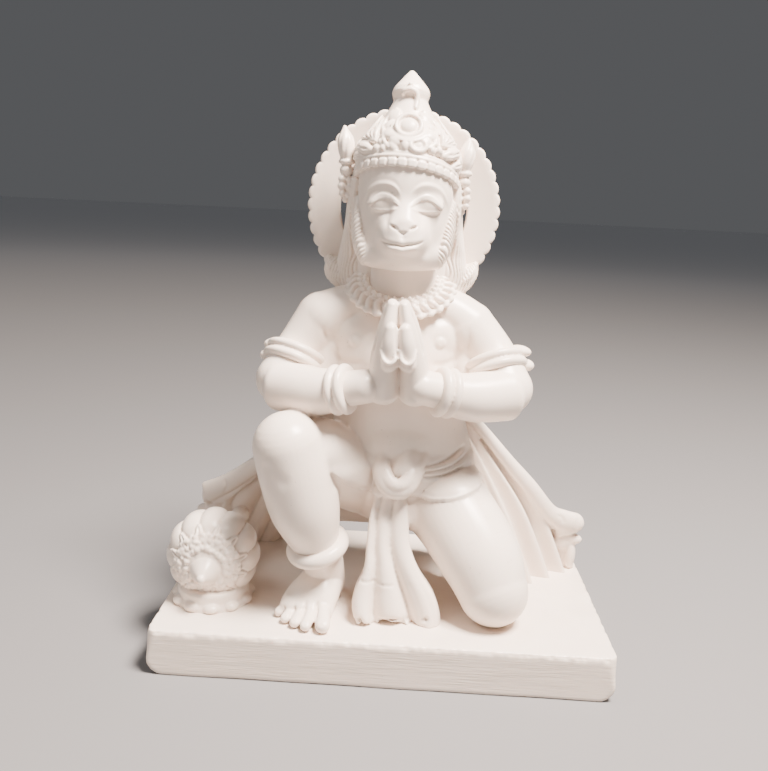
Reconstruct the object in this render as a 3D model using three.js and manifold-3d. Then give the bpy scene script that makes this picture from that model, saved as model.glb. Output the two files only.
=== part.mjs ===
// A kneeling figure of Hanuman with joined hands, carved from one block of white marble together with
// its plinth. Millimetres, +Z up, the figure faces -Y. The origin is the middle of the plinth's underside.
import * as THREE from "three";
import { mergeVertices } from "three/addons/utils/BufferGeometryUtils.js";
import Module from "manifold-3d";

const wasm = await Module();
wasm.setup();

// Driving sizes.
const plinth = { width: 355, depth: 215, height: 36, cornerRadius: 16, lowerCorner: 13 };
const figureHeight = 421; // from the top of the plinth to the tip of the crown

// The forms below are drawn for this height and follow figureHeight. Their coordinates start at the
// middle of the plinth's top: x to the viewer's right, y away from the viewer, z up.
const drawnHeight = 421;
const scale = figureHeight / drawnHeight;
const plinthEnd = plinth.width / 2 / scale; // where the shawl and the mace stop on both sides
const sunk = 3; // how far a form that stands on the plinth reaches into it
const maceInset = 0.9; // from the plinth's end to the mace's lobes
const halo = { radius: 77.5, hole: 51, thickness: 8, scallops: 48, scallopDepth: 3, middle: [-1, 17, 318.5] };
const crown = { radius: 38, middle: [0.5, -14, 342], leanDegrees: 8, leaves: 12 };
const mace = { radius: 35, lobes: 11, lobeDepth: 0.06, boss: 13, shaft: 8, padHeight: 13, bedded: 1 };
const armlet = { radius: 22, width: 14, thickness: 5, along: 1.3 };
const bracelet = { radius: 15, width: 13, thickness: 5, along: 1.5 };
const anklet = { radius: 20, width: 13, thickness: 6.5 };

// Interpolates rows of numbers smoothly, t running from 0 to rows.length - 1.
function sample(rows, t) {
  const last = rows.length - 1;
  const i = Math.min(Math.floor(t), last - 1);
  const f = t - i;
  const [a, b, c, d] = [rows[Math.max(i - 1, 0)], rows[i], rows[i + 1], rows[Math.min(i + 2, last)]];
  return b.map(
    (_, n) =>
      0.5 *
      (2 * b[n] +
        (c[n] - a[n]) * f +
        (2 * a[n] - 5 * b[n] + 4 * c[n] - d[n]) * f * f +
        (3 * b[n] - a[n] - 3 * c[n] + d[n]) * f * f * f),
  );
}

const pointOf = (row) => new THREE.Vector3(row[0], row[1], row[2]);

// A unit vector along `side`, squared to `axis`.
function squareTo(axis, side) {
  const v = new THREE.Vector3(...side);
  return v.addScaledVector(axis, -v.dot(axis)).normalize();
}

// A closed form with round ends along rows of [x, y, z, across, through]. `across` is the half size
// along `side`, and bulge(t, angle) swells or pinches the section.
function limb(rows, { around = 10, along = 4, caps = 2, side = [1, 0, 0], capLength = 1, bulge } = {}) {
  const levels = along + 2 * caps;
  const geometry = new THREE.SphereGeometry(1, around, levels);
  const position = geometry.getAttribute("position");
  const last = rows.length - 1;
  const step = 0.01;
  for (let level = 0; level <= levels; level++) {
    const t = THREE.MathUtils.clamp((level - caps) / along, 0, 1) * last;
    const row = sample(rows, t);
    const tangent = pointOf(sample(rows, Math.min(t + step, last)));
    tangent.sub(pointOf(sample(rows, Math.max(t - step, 0)))).normalize();
    const outer = squareTo(tangent, side);
    const other = outer.clone().cross(tangent);
    const slope = (Math.max(caps - level, level - caps - along, 0) / caps) * (Math.PI / 2);
    const reach = Math.sin(slope) * capLength * Math.min(row[3], row[4]) * (level < caps ? -1 : 1);
    const middle = pointOf(row).addScaledVector(tangent, reach);
    for (let column = 0; column <= around; column++) {
      const angle = ((column % around) / around) * 2 * Math.PI;
      const size = Math.cos(slope) * (bulge ? bulge(t / last, angle) : 1);
      const p = middle.clone();
      p.addScaledVector(outer, Math.cos(angle) * row[3] * size);
      p.addScaledVector(other, Math.sin(angle) * row[4] * size);
      position.setXYZ(level * (around + 1) + column, p.x, p.y, p.z);
    }
  }
  return geometry;
}

// A ring about `axis`, turned from a closed profile of [outwards, along the axis], which runs up the
// outside. relief(angle) gives each place on the ring its own swelling.
function hoop(middle, axis, radii, profile, { around = 12, side = [1, 0, 0], relief } = {}) {
  const closed = [...profile, profile[0]].map(([out, rise]) => new THREE.Vector2(1 + out, rise));
  const geometry = new THREE.LatheGeometry(closed, around);
  const position = geometry.getAttribute("position");
  const up = new THREE.Vector3(...axis).normalize();
  const first = squareTo(up, side);
  const second = up.clone().cross(first);
  for (let i = 0; i < position.count; i++) {
    const place = Math.floor(i / closed.length) % around;
    const angle = (place / around) * 2 * Math.PI;
    const { x, y } = closed[i % closed.length];
    const out = (x - 1) * (relief && x > 1 ? relief(angle) : 1);
    const p = new THREE.Vector3(...middle);
    p.addScaledVector(first, Math.cos(angle) * (radii[0] + out));
    p.addScaledVector(second, Math.sin(angle) * (radii[1] + out));
    p.addScaledVector(up, y);
    position.setXYZ(i, p.x, p.y, p.z);
  }
  return geometry;
}

// Sections of rings, half their width on both sides: two ridges with a groove between them, a flat
// ridge, and a sharp ridge.
const doubleBand = (out, half) => [
  [-out, -half],
  [out, -half * 0.67],
  [out * 0.1, 0],
  [out, half * 0.67],
  [-out, half],
];

const flatBand = (out, half) => [
  [-out, -half],
  [out, -half * 0.5],
  [out, half * 0.5],
  [-out, half],
];

const ridge = (out, half) => [
  [-out, -half],
  [out, 0],
  [-out, half],
];

// Cloth hung between two edges, each a list of points from top to bottom, in round folds that deepen
// downwards. Seen from outside, the first edge is on the left.
function cloth(edgeA, edgeB, { thickness, folds, foldDepth, across = 12, down = 2 }) {
  const geometry = new THREE.BoxGeometry(1, 1, 1, across, down, 1);
  const position = geometry.getAttribute("position");
  const step = 0.01;
  const onEdge = (edge, v) => pointOf(sample(edge, v * (edge.length - 1)));
  const base = (u, v) => onEdge(edgeA, v).lerp(onEdge(edgeB, v), u);
  for (let i = 0; i < position.count; i++) {
    const u = position.getX(i) + 0.5;
    const v = 0.5 - position.getY(i);
    const sideways = base(Math.min(u + step, 1), v).sub(base(Math.max(u - step, 0), v));
    const downwards = base(u, Math.min(v + step, 1)).sub(base(u, Math.max(v - step, 0)));
    const outward = downwards.cross(sideways).normalize();
    const fold = foldDepth * (0.25 + 0.75 * v) * Math.cos(u * folds * 2 * Math.PI);
    const p = base(u, v).addScaledVector(outward, fold + position.getZ(i) * thickness);
    position.setXYZ(i, p.x, p.y, p.z);
  }
  return geometry;
}

function ball(middle, radii, { around = 10, levels = 6 } = {}) {
  return new THREE.SphereGeometry(1, around, levels).scale(...radii).translate(...middle);
}

const mirrored = (rows) => rows.map(([x, ...rest]) => [-x, ...rest]);

function trunk() {
  const spine = [
    [6, 4, 72, 40, 34],
    [6, 2, 94, 60, 43],
    [6, -3, 122, 60, 43],
    [4, -7, 152, 54, 41],
    [1, -8, 188, 53, 38],
    [0, -7, 216, 54, 34],
    [0, -6, 243, 44, 25],
    [0, -8, 257, 26, 18],
  ];
  const chest = [
    [-14, -26, 216, 18, 19],
    [-38, -25, 217, 18, 18],
  ];
  const shoulderLine = [
    [-60, -10, 230, 21, 23],
    [-30, -6, 242, 17, 20],
    [30, -6, 243, 17, 20],
    [62, -10, 232, 21, 23],
  ];
  const neck = [
    [0, -8, 245, 23, 22],
    [0, -16, 286, 24, 22],
  ];
  return [
    limb(spine, { around: 12, along: 5, caps: 1, capLength: 0.4 }),
    ball([5, -14, 138], [44, 36, 36], { around: 8, levels: 5 }),
    limb(chest, { around: 8, along: 1, side: [0, 0, 1] }),
    limb(mirrored(chest), { around: 8, along: 1, side: [0, 0, 1] }),
    limb(shoulderLine, { along: 3, caps: 1, side: [0, 0, 1] }),
    limb(neck, { around: 8, along: 1, caps: 1 }),
  ];
}

// One arm, drawn for the viewer's left side. The other one is its mirror image, held a little higher.
function arm(hand) {
  const [inward, rise] = hand > 0 ? [2, 2] : [0, 0];
  const place = ([x, y, z, ...rest]) => [-hand * (x + inward), y, z + rise, ...rest];
  const upper = [
    [-61, -10, 229, 22, 22],
    [-77, -18, 206, 19, 19],
    [-89, -34, 182, 21, 20],
  ];
  const lower = [
    [-89, -37, 179, 21, 21],
    [-62, -50, 178, 19, 19],
    [-22, -64, 187, 13, 14],
  ];
  const ring = (rows, axis, { radius, width, thickness, along }, section) => {
    const middle = place(sample(rows, along)).slice(0, 3);
    return hoop(middle, axis, [radius, radius], section(thickness, width / 2));
  };
  return [
    limb(upper.map(place), { along: 2 }),
    limb(lower.map(place), { along: 3, side: [0, 0, 1] }),
    ring(upper, [hand * 0.3, -0.45, -0.85], armlet, doubleBand),
    ring(lower, [-hand * 0.92, -0.33, 0.2], bracelet, flatBand),
  ];
}

// The palms meet on the plane x = 4, with the little fingers in front.
function joinedHands() {
  const meeting = 4;
  const parts = [];
  for (const hand of [-1, 1]) {
    const palm = [
      [meeting + hand * 11, -62, 184, 11, 14],
      [meeting + hand * 9.5, -66, 206, 10, 16],
      [meeting + hand * 6.5, -69, 230, 7, 12],
      [meeting + hand * 4, -71, 246, 4.4, 7],
    ];
    const littleFinger = [
      [meeting + hand * 5.4, -80, 212, 5.2, 5],
      [meeting + hand * 4.6, -79, 234, 3.8, 4],
    ];
    parts.push(limb(palm, { around: 8, along: 3, caps: 1 }));
    parts.push(limb(littleFinger, { around: 6, along: 1, caps: 1 }));
  }
  return parts;
}

// The knee on the viewer's left is raised, and the other rests on the plinth with its shin behind it.
function legs() {
  const raisedThigh = [
    [-24, 4, 98, 37, 36],
    [-46, -26, 114, 34, 33],
    [-62, -50, 129, 30, 29],
    [-72, -62, 136, 22, 22],
  ];
  const raisedShin = [
    [-78, -70, 139, 27, 27],
    [-71, -67, 112, 28, 28],
    [-64, -63, 86, 27, 27],
    [-56, -57, 58, 20, 21],
    [-50, -50, 36, 17.5, 19],
    [-50, -42, 13, 18, 21],
  ];
  const foot = [
    [-50, -32, 12, 17, 14],
    [-55, -50, 13, 18, 15],
    [-61, -66, 8, 19, 10],
    [-65, -76, 6, 17, 6],
  ];
  const toes = [
    { root: [-51, -73, 7], tip: [-48, -89, 5], radius: 6.3 },
    { root: [-60, -73, 7], tip: [-62, -86, 4.5], radius: 4.9 },
    { root: [-67, -69, 7], tip: [-71, -81, 4], radius: 4.6 },
    { root: [-73, -64, 6.5], tip: [-78, -74, 4], radius: 4.3 },
    { root: [-76, -57, 6], tip: [-83, -64, 4], radius: 4 },
  ];
  const kneelingThigh = [
    [32, 2, 92, 38, 38],
    [54, -24, 74, 35, 36],
    [75, -48, 49, 33, 33],
    [86, -62, 27, 28, 28],
  ];
  const kneelingShin = [
    [86, -58, 22, 24, 24],
    [80, -10, 20, 20, 21],
    [72, 40, 13, 14, 15],
    [64, 88, 5, 14, 9],
  ];
  return [
    limb(raisedThigh, { along: 3, caps: 1 }),
    limb(raisedShin, { along: 5 }),
    limb(foot, { around: 8, along: 3, caps: 1 }),
    ...toes.map(({ root, tip, radius }) =>
      limb([[...root, radius, radius], [...tip, radius * 0.85, radius * 0.8]], { around: 5, along: 1 }),
    ),
    hoop(
      [-54, -57, 53],
      [-0.25, -0.25, 1],
      [anklet.radius, anklet.radius + 1],
      flatBand(anklet.thickness, anklet.width / 2),
    ),
    limb(kneelingThigh, { along: 3 }),
    limb(kneelingShin, { around: 8, along: 2, caps: 1 }),
  ];
}

function head() {
  const skull = [
    [0, -30, 274, 25, 22],
    [0, -31, 287, 32, 27],
    [0, -28, 302, 34.5, 30],
    [0, -24, 317, 35, 30],
    [0, -22, 331, 36, 36],
    [0, -17, 350, 34, 34],
    [0, -16, 358, 26, 26],
  ];
  const nose = [
    [0, -53, 322, 6, 4],
    [0, -67, 308, 9, 6],
  ];
  const parts = [
    limb(skull, { around: 12, along: 5, caps: 1, capLength: 0.4 }),
    ball([0, -51, 294], [24, 19, 15], { levels: 5 }),
    limb(nose, { around: 6, along: 1 }),
    ball([0, -54, 279], [13, 6, 6], { around: 8, levels: 4 }),
  ];
  for (const cheek of [-1, 1]) {
    const whiskers = [
      [cheek * 35, -22, 316, 3, 7],
      [cheek * 33, -30, 292, 6, 9],
      [cheek * 28, -36, 272, 5, 7],
    ];
    const hair = [
      [cheek * 38, -6, 330, 6, 9],
      [cheek * 41, 2, 303, 5.5, 10],
      [cheek * 43, 6, 278, 9, 11],
      [cheek * 44, 7, 258, 11, 11],
      [cheek * 54, 6, 269, 7, 7],
    ];
    parts.push(
      ball([cheek * 17, -52, 320], [11, 5, 6], { around: 6, levels: 4 }),
      limb(whiskers, { around: 6, along: 2, caps: 1 }),
      limb(hair, { around: 6, along: 4, caps: 1, side: [0, 1, 0] }),
    );
  }
  const backHair = [
    [0, 6, 345, 30, 20],
    [0, 14, 300, 36, 16],
    [0, 20, 245, 34, 12],
  ];
  parts.push(limb(backHair, { around: 6, along: 2, caps: 1 }));
  return parts;
}

// A tiered crown with two rows of leaves, a double rim, a medallion and an onion-shaped finial. It is
// built upright about its own axis, leant back and set on the head.
function crownWithLeaves() {
  const { radius, leaves } = crown;
  const tiers = [
    { from: 12, to: 35, depth: 3, turn: 0 },
    { from: 32, to: 54, depth: 2.5, turn: 0.5 },
  ];
  const outline = [
    [0, -10],
    [0.92, -4],
    [1.03, 3.5],
    [0.97, 7.5],
    [1.05, 11],
    [0.95, 14],
    [1, 21],
    [0.88, 30],
    [0.74, 35],
    [0.49, 49],
    [0, 58],
  ].map(([share, z]) => new THREE.Vector2(share * radius, z));
  const columns = 2 * leaves;
  const shell = new THREE.LatheGeometry(outline, columns).rotateX(Math.PI / 2);
  const position = shell.getAttribute("position");
  for (let i = 0; i < position.count; i++) {
    const p = new THREE.Vector3().fromBufferAttribute(position, i);
    const reach = Math.hypot(p.x, p.y);
    let relief = 0;
    for (const { from, to, depth, turn } of tiers) {
      const rise = THREE.MathUtils.clamp((p.z - from) / (to - from), 0, 1);
      const angle = leaves * Math.atan2(p.y, p.x) + turn * 2 * Math.PI;
      relief += depth * Math.sin(Math.PI * rise) * Math.cos(angle);
    }
    if (reach > 0.1) position.setXY(i, (p.x * (reach + relief)) / reach, (p.y * (reach + relief)) / reach);
  }
  const finial = new THREE.LatheGeometry(
    [
      [0, 48],
      [0.34, 52],
      [0.32, 57],
      [0.4, 63],
      [0.35, 69],
      [0.14, 75],
      [0, 79.8],
    ].map(([share, z]) => new THREE.Vector2(share * radius, z)),
    8,
  ).rotateX(Math.PI / 2);
  const medallion = new THREE.CylinderGeometry(10, 10.5, 7, 8).rotateX(Math.PI * 0.42);
  medallion.translate(0, -radius * 0.72, 35);
  const boss = ball([0, -radius * 0.83, 36.5], [6.5, 3.5, 6.5], { around: 6, levels: 4 });
  const lean = THREE.MathUtils.degToRad(-crown.leanDegrees);
  const parts = [shell, finial, medallion, boss];
  return parts.map((geometry) => geometry.rotateX(lean).translate(...crown.middle));
}

// A bud beside the crown on each side, with a string of beads below it.
function earOrnaments() {
  const beads = 3;
  const budStart = 0.75; // as a share of the way up
  const swell = (t) => 0.85 + 0.15 * Math.cos(2 * Math.PI * beads * Math.min(t / budStart, 1));
  return [-1, 1].map((ear) => {
    const rows = [
      [ear * 42, -10, 325, 6, 7],
      [ear * 42, -10, 352, 6, 7],
      [ear * 45.5, -9, 365, 7.5, 8],
      [ear * 46, -8, 378, 2, 3],
    ];
    return limb(rows, { around: 6, along: 8, caps: 1, bulge: swell });
  });
}

// A flat ring behind the head whose rim is a row of small scallops.
function haloRing() {
  const points = [];
  for (let i = 0; i < 2 * halo.scallops; i++) {
    const reach = halo.radius - (i % 2) * halo.scallopDepth;
    const angle = (i / halo.scallops) * Math.PI;
    points.push(new THREE.Vector2(reach * Math.cos(angle), reach * Math.sin(angle)));
  }
  const outline = new THREE.Shape(points);
  const ring = new THREE.ExtrudeGeometry(outline, { depth: halo.thickness, bevelEnabled: false });
  const hole = new THREE.CylinderGeometry(halo.hole, halo.hole, 3 * halo.thickness, 24);
  ring.rotateX(Math.PI / 2).translate(0, halo.thickness / 2, 0);
  const [plate, opening] = [ring, hole].map((geometry) => placed(geometry.translate(...halo.middle)));
  return solidOf(plate).subtract(solidOf(opening));
}

function collar() {
  const slope = [
    [-8, -4],
    [9, -8],
    [-5, 6],
  ];
  return hoop([0, -14, 250], [0, -0.28, 1], [32, 24], slope, {
    around: 24,
    relief: (angle) => 0.85 + 0.15 * Math.cos(12 * angle),
  });
}

// The sash around the waist, the hems on the thighs, the looped knot and the cloth that hangs in front.
function waistCloth() {
  const loop = [
    [-10, -46, 124, 5, 4.5],
    [-9, -54, 110, 5.5, 5],
    [4, -58, 103, 6, 5.5],
    [20, -56, 108, 6, 5],
    [30, -46, 124, 5, 4.5],
  ];
  const leftEdge = [
    [-3, -52, 106],
    [-9, -65, 72],
    [-16, -76, 40],
    [-20, -82, -sunk],
  ];
  const rightEdge = [
    [16, -52, 106],
    [20, -64, 72],
    [29, -73, 40],
    [45, -68, -sunk],
  ];
  return [
    hoop([6, -3, 122], [0.04, 0, 1], [59, 42], ridge(5, 8)),
    hoop([49, -18, 79], [0.52, -0.62, -0.6], [36, 37], ridge(3, 4)),
    hoop([-39, -17, 108], [-0.55, -0.7, 0.45], [35, 34], ridge(3, 4), { side: [0, 0, 1] }),
    limb(loop, { around: 6, along: 6, caps: 1, side: [0, -1, 0] }),
    cloth(leftEdge, rightEdge, { thickness: 13, folds: 3, foldDepth: 4.5 }),
  ];
}

// The shawl spreads from the waist to both ends of the plinth, with a rolled end on each side.
function shawl() {
  const rightInner = [
    [50, 8, 150],
    [86, 10, 80],
    [122, 12, -sunk],
  ];
  const rightOuter = [
    [52, 18, 168],
    [98, 30, 117],
    [plinthEnd - 34.5, 46, 60],
    [plinthEnd - 7.5, 54, -sunk],
  ];
  const rightRoll = [
    [106, 32, 104, 4, 5],
    [plinthEnd - 34.5, 46, 60, 7, 8],
    [plinthEnd - 11.2, 51, 38, 16, 9],
  ];
  const leftInner = [
    [-40, 30, 150],
    [-72, 50, 70],
    [-102, 76, -sunk],
  ];
  const leftOuter = [
    [-54, 18, 164],
    [-98, 26, 116],
    [33.5 - plinthEnd, 40, 68],
    [8.5 - plinthEnd, 50, -sunk],
  ];
  const leftRoll = [
    [-106, 30, 106, 4, 5],
    [33.5 - plinthEnd, 39, 68, 7, 8],
    [11.5 - plinthEnd, 46, 45, 16, 9],
  ];
  const backLeft = [
    [-46, 26, 150],
    [-62, 46, 90],
    [-68, 60, 33],
  ];
  const backRight = [
    [50, 22, 150],
    [72, 42, 90],
    [80, 56, 33],
  ];
  const folds = { thickness: 12, folds: 4, foldDepth: 4 };
  const roll = { around: 6, along: 2, side: [0, 0, 1], capLength: 0.8 };
  return [
    cloth(rightInner, rightOuter, folds),
    limb(rightRoll, roll),
    cloth(leftOuter, leftInner, folds),
    limb(leftRoll, roll),
    cloth(backRight, backLeft, { thickness: 12, folds: 2, foldDepth: 3, across: 8 }),
  ];
}

// The mace lies with its lobed head towards the viewer, on a low pad.
function maceOnPad() {
  const r = mace.radius;
  const [x, y, z] = [r * (1 + mace.lobeDepth) + maceInset - plinthEnd, -44, r - mace.bedded];
  const side = [0, 0, 1];
  const row = (along, share) => [x, y + along * r, z, share * r, share * r];
  const profile = [row(-0.68, 0.42), row(-0.4, 0.86), row(0, 1), row(0.45, 0.9), row(0.78, 0.5)];
  const tip = mace.boss / r;
  const boss = [row(-0.6, tip), row(-0.95, 0.75 * tip), row(-1.2, 0.34 * tip)];
  const shaft = [
    [x, y + 0.6 * r, z, mace.shaft, mace.shaft],
    [x + 4, 44, z, mace.shaft, mace.shaft],
  ];
  const lobes = (t, angle) => {
    const swelling = 2 * Math.abs(Math.cos((mace.lobes * angle) / 2)) - 1;
    return 1 + mace.lobeDepth * swelling;
  };
  const pad = new THREE.CylinderGeometry(r * 0.82, r * 0.95, mace.padHeight + sunk, 12).rotateX(Math.PI / 2);
  return [
    limb(profile, { around: 2 * mace.lobes, along: 4, caps: 1, side, bulge: lobes, capLength: 0.4 }),
    limb(boss, { around: 8, along: 2, caps: 1, side }),
    limb(shaft, { around: 6, along: 1, caps: 1, side }),
    pad.scale(1, 0.78, 1).translate(x + 2, y + 2, (mace.padHeight - sunk) / 2),
  ];
}

// A slab with rounded upright corners, its two lower end edges worn round.
function plinthSlab() {
  const { width, depth, height, cornerRadius, lowerCorner } = plinth;
  const [x, y] = [width / 2, depth / 2];
  const plan = new THREE.Shape();
  plan.absarc(x - cornerRadius, y - cornerRadius, cornerRadius, 0, Math.PI / 2, false);
  plan.absarc(cornerRadius - x, y - cornerRadius, cornerRadius, Math.PI / 2, Math.PI, false);
  plan.absarc(cornerRadius - x, cornerRadius - y, cornerRadius, Math.PI, 1.5 * Math.PI, false);
  plan.absarc(x - cornerRadius, cornerRadius - y, cornerRadius, 1.5 * Math.PI, 2 * Math.PI, false);
  const front = new THREE.Shape();
  front.absarc(lowerCorner - x, lowerCorner, lowerCorner, Math.PI, 1.5 * Math.PI, false);
  front.absarc(x - lowerCorner, lowerCorner, lowerCorner, 1.5 * Math.PI, 2 * Math.PI, false);
  front.lineTo(x, height);
  front.lineTo(-x, height);
  const upright = new THREE.ExtrudeGeometry(plan, { depth: height, bevelEnabled: false, curveSegments: 3 });
  const across = new THREE.ExtrudeGeometry(front, { depth, bevelEnabled: false, curveSegments: 3 });
  across.rotateX(Math.PI / 2).translate(0, y, 0);
  return solidOf(upright).intersect(solidOf(across));
}

// Moves a form from the figure's coordinates to the part's.
const placed = (geometry) => geometry.scale(scale, scale, scale).translate(0, 0, plinth.height);

function solidOf(geometry) {
  geometry.deleteAttribute("normal");
  geometry.deleteAttribute("uv");
  const { index, attributes } = mergeVertices(geometry, 1e-3);
  const triVerts = new Uint32Array(index.array);
  const vertProperties = attributes.position.array;
  return new wasm.Manifold(new wasm.Mesh({ numProp: 3, vertProperties, triVerts }));
}

function geometryOf(solid) {
  const { vertProperties, triVerts } = solid.getMesh();
  const geometry = new THREE.BufferGeometry();
  geometry.setAttribute("position", new THREE.BufferAttribute(vertProperties, 3));
  geometry.setIndex(new THREE.BufferAttribute(triVerts, 1));
  geometry.computeVertexNormals();
  return geometry;
}

const carved = [
  ...trunk(),
  ...arm(-1),
  ...arm(1),
  ...joinedHands(),
  ...legs(),
  ...head(),
  ...crownWithLeaves(),
  ...earOrnaments(),
  collar(),
  ...waistCloth(),
  ...shawl(),
  ...maceOnPad(),
];
const solids = carved.map((geometry) => solidOf(placed(geometry)));
const statue = [...solids, haloRing()].reduce((whole, solid) => whole.add(solid), plinthSlab());

const marble = new THREE.MeshStandardMaterial({ color: 0xece7e1, roughness: 0.42, metalness: 0 });
const mesh = new THREE.Mesh(geometryOf(statue), marble);
mesh.name = "hanuman_figure";

const group = new THREE.Group();
group.add(mesh);
export default group;
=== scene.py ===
# A kneeling Hanuman carved from one block of white marble. Forms are drawn in millimetres from the
# middle of the plinth's top, x to the viewer's right, y away, z up, and go to metres at the end.
from math import cos, pi, radians, sin, sqrt

import bmesh
import bpy
import numpy as np
from mathutils import Matrix, Vector


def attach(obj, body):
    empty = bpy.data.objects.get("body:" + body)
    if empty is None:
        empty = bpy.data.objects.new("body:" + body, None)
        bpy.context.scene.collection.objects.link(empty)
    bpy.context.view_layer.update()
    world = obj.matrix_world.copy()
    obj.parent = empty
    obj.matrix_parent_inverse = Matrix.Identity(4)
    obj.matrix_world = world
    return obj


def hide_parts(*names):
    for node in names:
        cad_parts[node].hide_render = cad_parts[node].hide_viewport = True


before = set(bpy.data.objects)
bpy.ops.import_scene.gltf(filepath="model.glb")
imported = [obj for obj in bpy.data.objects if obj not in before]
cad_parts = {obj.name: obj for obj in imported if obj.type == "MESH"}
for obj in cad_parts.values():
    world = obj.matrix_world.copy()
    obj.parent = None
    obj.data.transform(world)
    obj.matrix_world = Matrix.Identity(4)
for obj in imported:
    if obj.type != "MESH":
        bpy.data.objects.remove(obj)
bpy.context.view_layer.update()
scene = bpy.context.scene
node = "hanuman_figure"
coarse = 1.0
plinthHeight = 36
print("frame loaded")


# Smooth values between rows of numbers, t running from 0 to the last row.
def sample(rows, t):
    rows = np.asarray(rows, float)
    last = len(rows) - 1
    t = np.clip(np.asarray(t, float), 0, last)
    i = np.clip(np.floor(t).astype(int), 0, last - 1)
    f = (t - i)[:, None]
    a, b, c, d = (rows[np.clip(i + k, 0, last)] for k in (-1, 0, 1, 2))
    return 0.5 * (2 * b + (c - a) * f + (2 * a - 5 * b + 4 * c - d) * f**2 + (3 * b - a - 3 * c + d) * f**3)


def unit(v):
    return v / np.maximum(np.linalg.norm(v, axis=-1, keepdims=True), 1e-9)


# Goes softly from 0 to 1 as x goes from 0 to width.
def smooth(x, width=1.0):
    x = np.clip(x / width, 0, 1)
    return x * x * (3 - 2 * x)


# The value at x on straight lines between a few spots.
def between(x, spots):
    return np.interp(x, *zip(*spots))


# A smooth arc near a few spots.
def arc(x, spots):
    return np.polyval(np.polyfit(*zip(*spots), min(4, len(spots) - 1)), x)


# A bell-shaped swell about 0.
def bell(x, width=1.0):
    return np.exp(-((x / width) ** 2))


def moveTo(verts, points):
    for v, p in zip(verts, points):
        v.co = p


# Rows as they are drawn, or mirrored for side -1.
def sided(rows, side):
    return [[side * x, *rest] for x, *rest in rows]


# A spot on a circle about the z axis, by degrees from its front.
def onCircle(degrees, r, z):
    a = radians(degrees)
    return [r * sin(a), -r * cos(a), z]


# An axis and the two directions across it, the first of them nearest to x.
def axesOf(axis):
    up = unit(np.array(axis, float))
    first = unit(np.array((1.0, 0, 0)) - up * up[0])
    return up, first, np.cross(up, first)


shapes = {}


# Adds a small bmesh to a larger one and gives its vertices there. A named shape is made once.
def added(bm, make, name=None):
    if name not in shapes:
        small = bmesh.new()
        make(small)
        mesh = bpy.data.meshes.new("shape")
        small.to_mesh(mesh)
        small.free()
        shapes[name] = mesh
    before = len(bm.verts)
    bm.from_mesh(shapes[name])
    bm.verts.ensure_lookup_table()
    if not name:
        bpy.data.meshes.remove(shapes.pop(name))
    return bm.verts[before:]


def sphere(bm, around, levels):
    def make(small):
        bmesh.ops.create_uvsphere(small, u_segments=around, v_segments=levels, radius=1)

    return added(bm, make, (around, levels))


# A form with round ends along rows of [x, y, z, across, through]. across is the half size along side,
# and bulge(share, angle) swells or pinches the section.
def limb(bm, rows, around=40, along=40, caps=8, side=(1, 0, 0), capLength=1.0, bulge=None):
    levels = along + 2 * caps
    made = sphere(bm, around, levels)
    co = np.array([v.co for v in made])
    level = np.arccos(np.clip(co[:, 2], -1, 1)) / pi * levels
    angle = np.arctan2(co[:, 1], co[:, 0])
    last = len(rows) - 1
    t = np.clip((level - caps) / along, 0, 1) * last
    row = sample(rows, t)
    tangent = unit(sample(rows, t + 0.01)[:, :3] - sample(rows, t - 0.01)[:, :3])
    side = np.array(side, float)
    outer = unit(side - tangent * (tangent @ side)[:, None])
    other = np.cross(outer, tangent)
    slope = np.maximum(np.maximum(caps - level, level - caps - along), 0) / caps * pi / 2
    reach = np.sin(slope) * capLength * np.minimum(row[:, 3], row[:, 4]) * np.where(level < caps, -1, 1)
    size = np.cos(slope) * (bulge(t / last, angle) if bulge else 1)
    points = row[:, :3] + tangent * reach[:, None]
    points = points + outer * (np.cos(angle) * row[:, 3] * size)[:, None]
    moveTo(made, points + other * (np.sin(angle) * row[:, 4] * size)[:, None])


# A round string along points with one radius, or a radius at each point.
def string(bm, points, radius, around=12, along=None, caps=3, side=(1, 0, 0)):
    radii = radius if isinstance(radius, list) else [radius] * len(points)
    rows = [[*p, r, r] for p, r in zip(points, radii)]
    limb(bm, rows, around, along or 6 * len(points), caps, side)


def turnTo(axis):
    return Vector((0, 0, 1)).rotation_difference(Vector(axis)).to_matrix().to_4x4()


def ball(bm, middle, radii, axis=(0, 0, 1), segments=24):
    place = Matrix.Translation(middle) @ turnTo(axis) @ Matrix.Diagonal((*radii, 1))
    bmesh.ops.transform(bm, matrix=place, verts=sphere(bm, segments, segments // 2))


def roundEdges(bm, edges, size, steps):
    bmesh.ops.bevel(bm, geom=edges, offset=size, segments=steps, affect="EDGES", profile=0.5, material=-1)


# A shape turned about the z axis from an outline of [radius, height].
def turned(bm, outline, steps, place=Matrix.Identity(4)):
    def make(small):
        verts = [small.verts.new((r, 0, z)) for r, z in outline]
        edges = [small.edges.new(pair) for pair in zip(verts, verts[1:])]
        turn = {"cent": (0, 0, 0), "axis": (0, 0, 1), "dvec": (0, 0, 0), "angle": 2 * pi}
        bmesh.ops.spin(small, geom=verts + edges, **turn, steps=steps, use_merge=True)
        bmesh.ops.remove_doubles(small, verts=small.verts, dist=1e-4)
        bmesh.ops.transform(small, matrix=place, verts=small.verts)

    return added(bm, make)


def torus(bm, middle, axis, radius, thick, steps):
    angles = np.linspace(0, 2 * pi, 15)
    ring = [(radius + thick * cos(a), thick * sin(a)) for a in angles]
    turned(bm, ring, steps, Matrix.Translation(middle) @ turnTo(axis))


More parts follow.
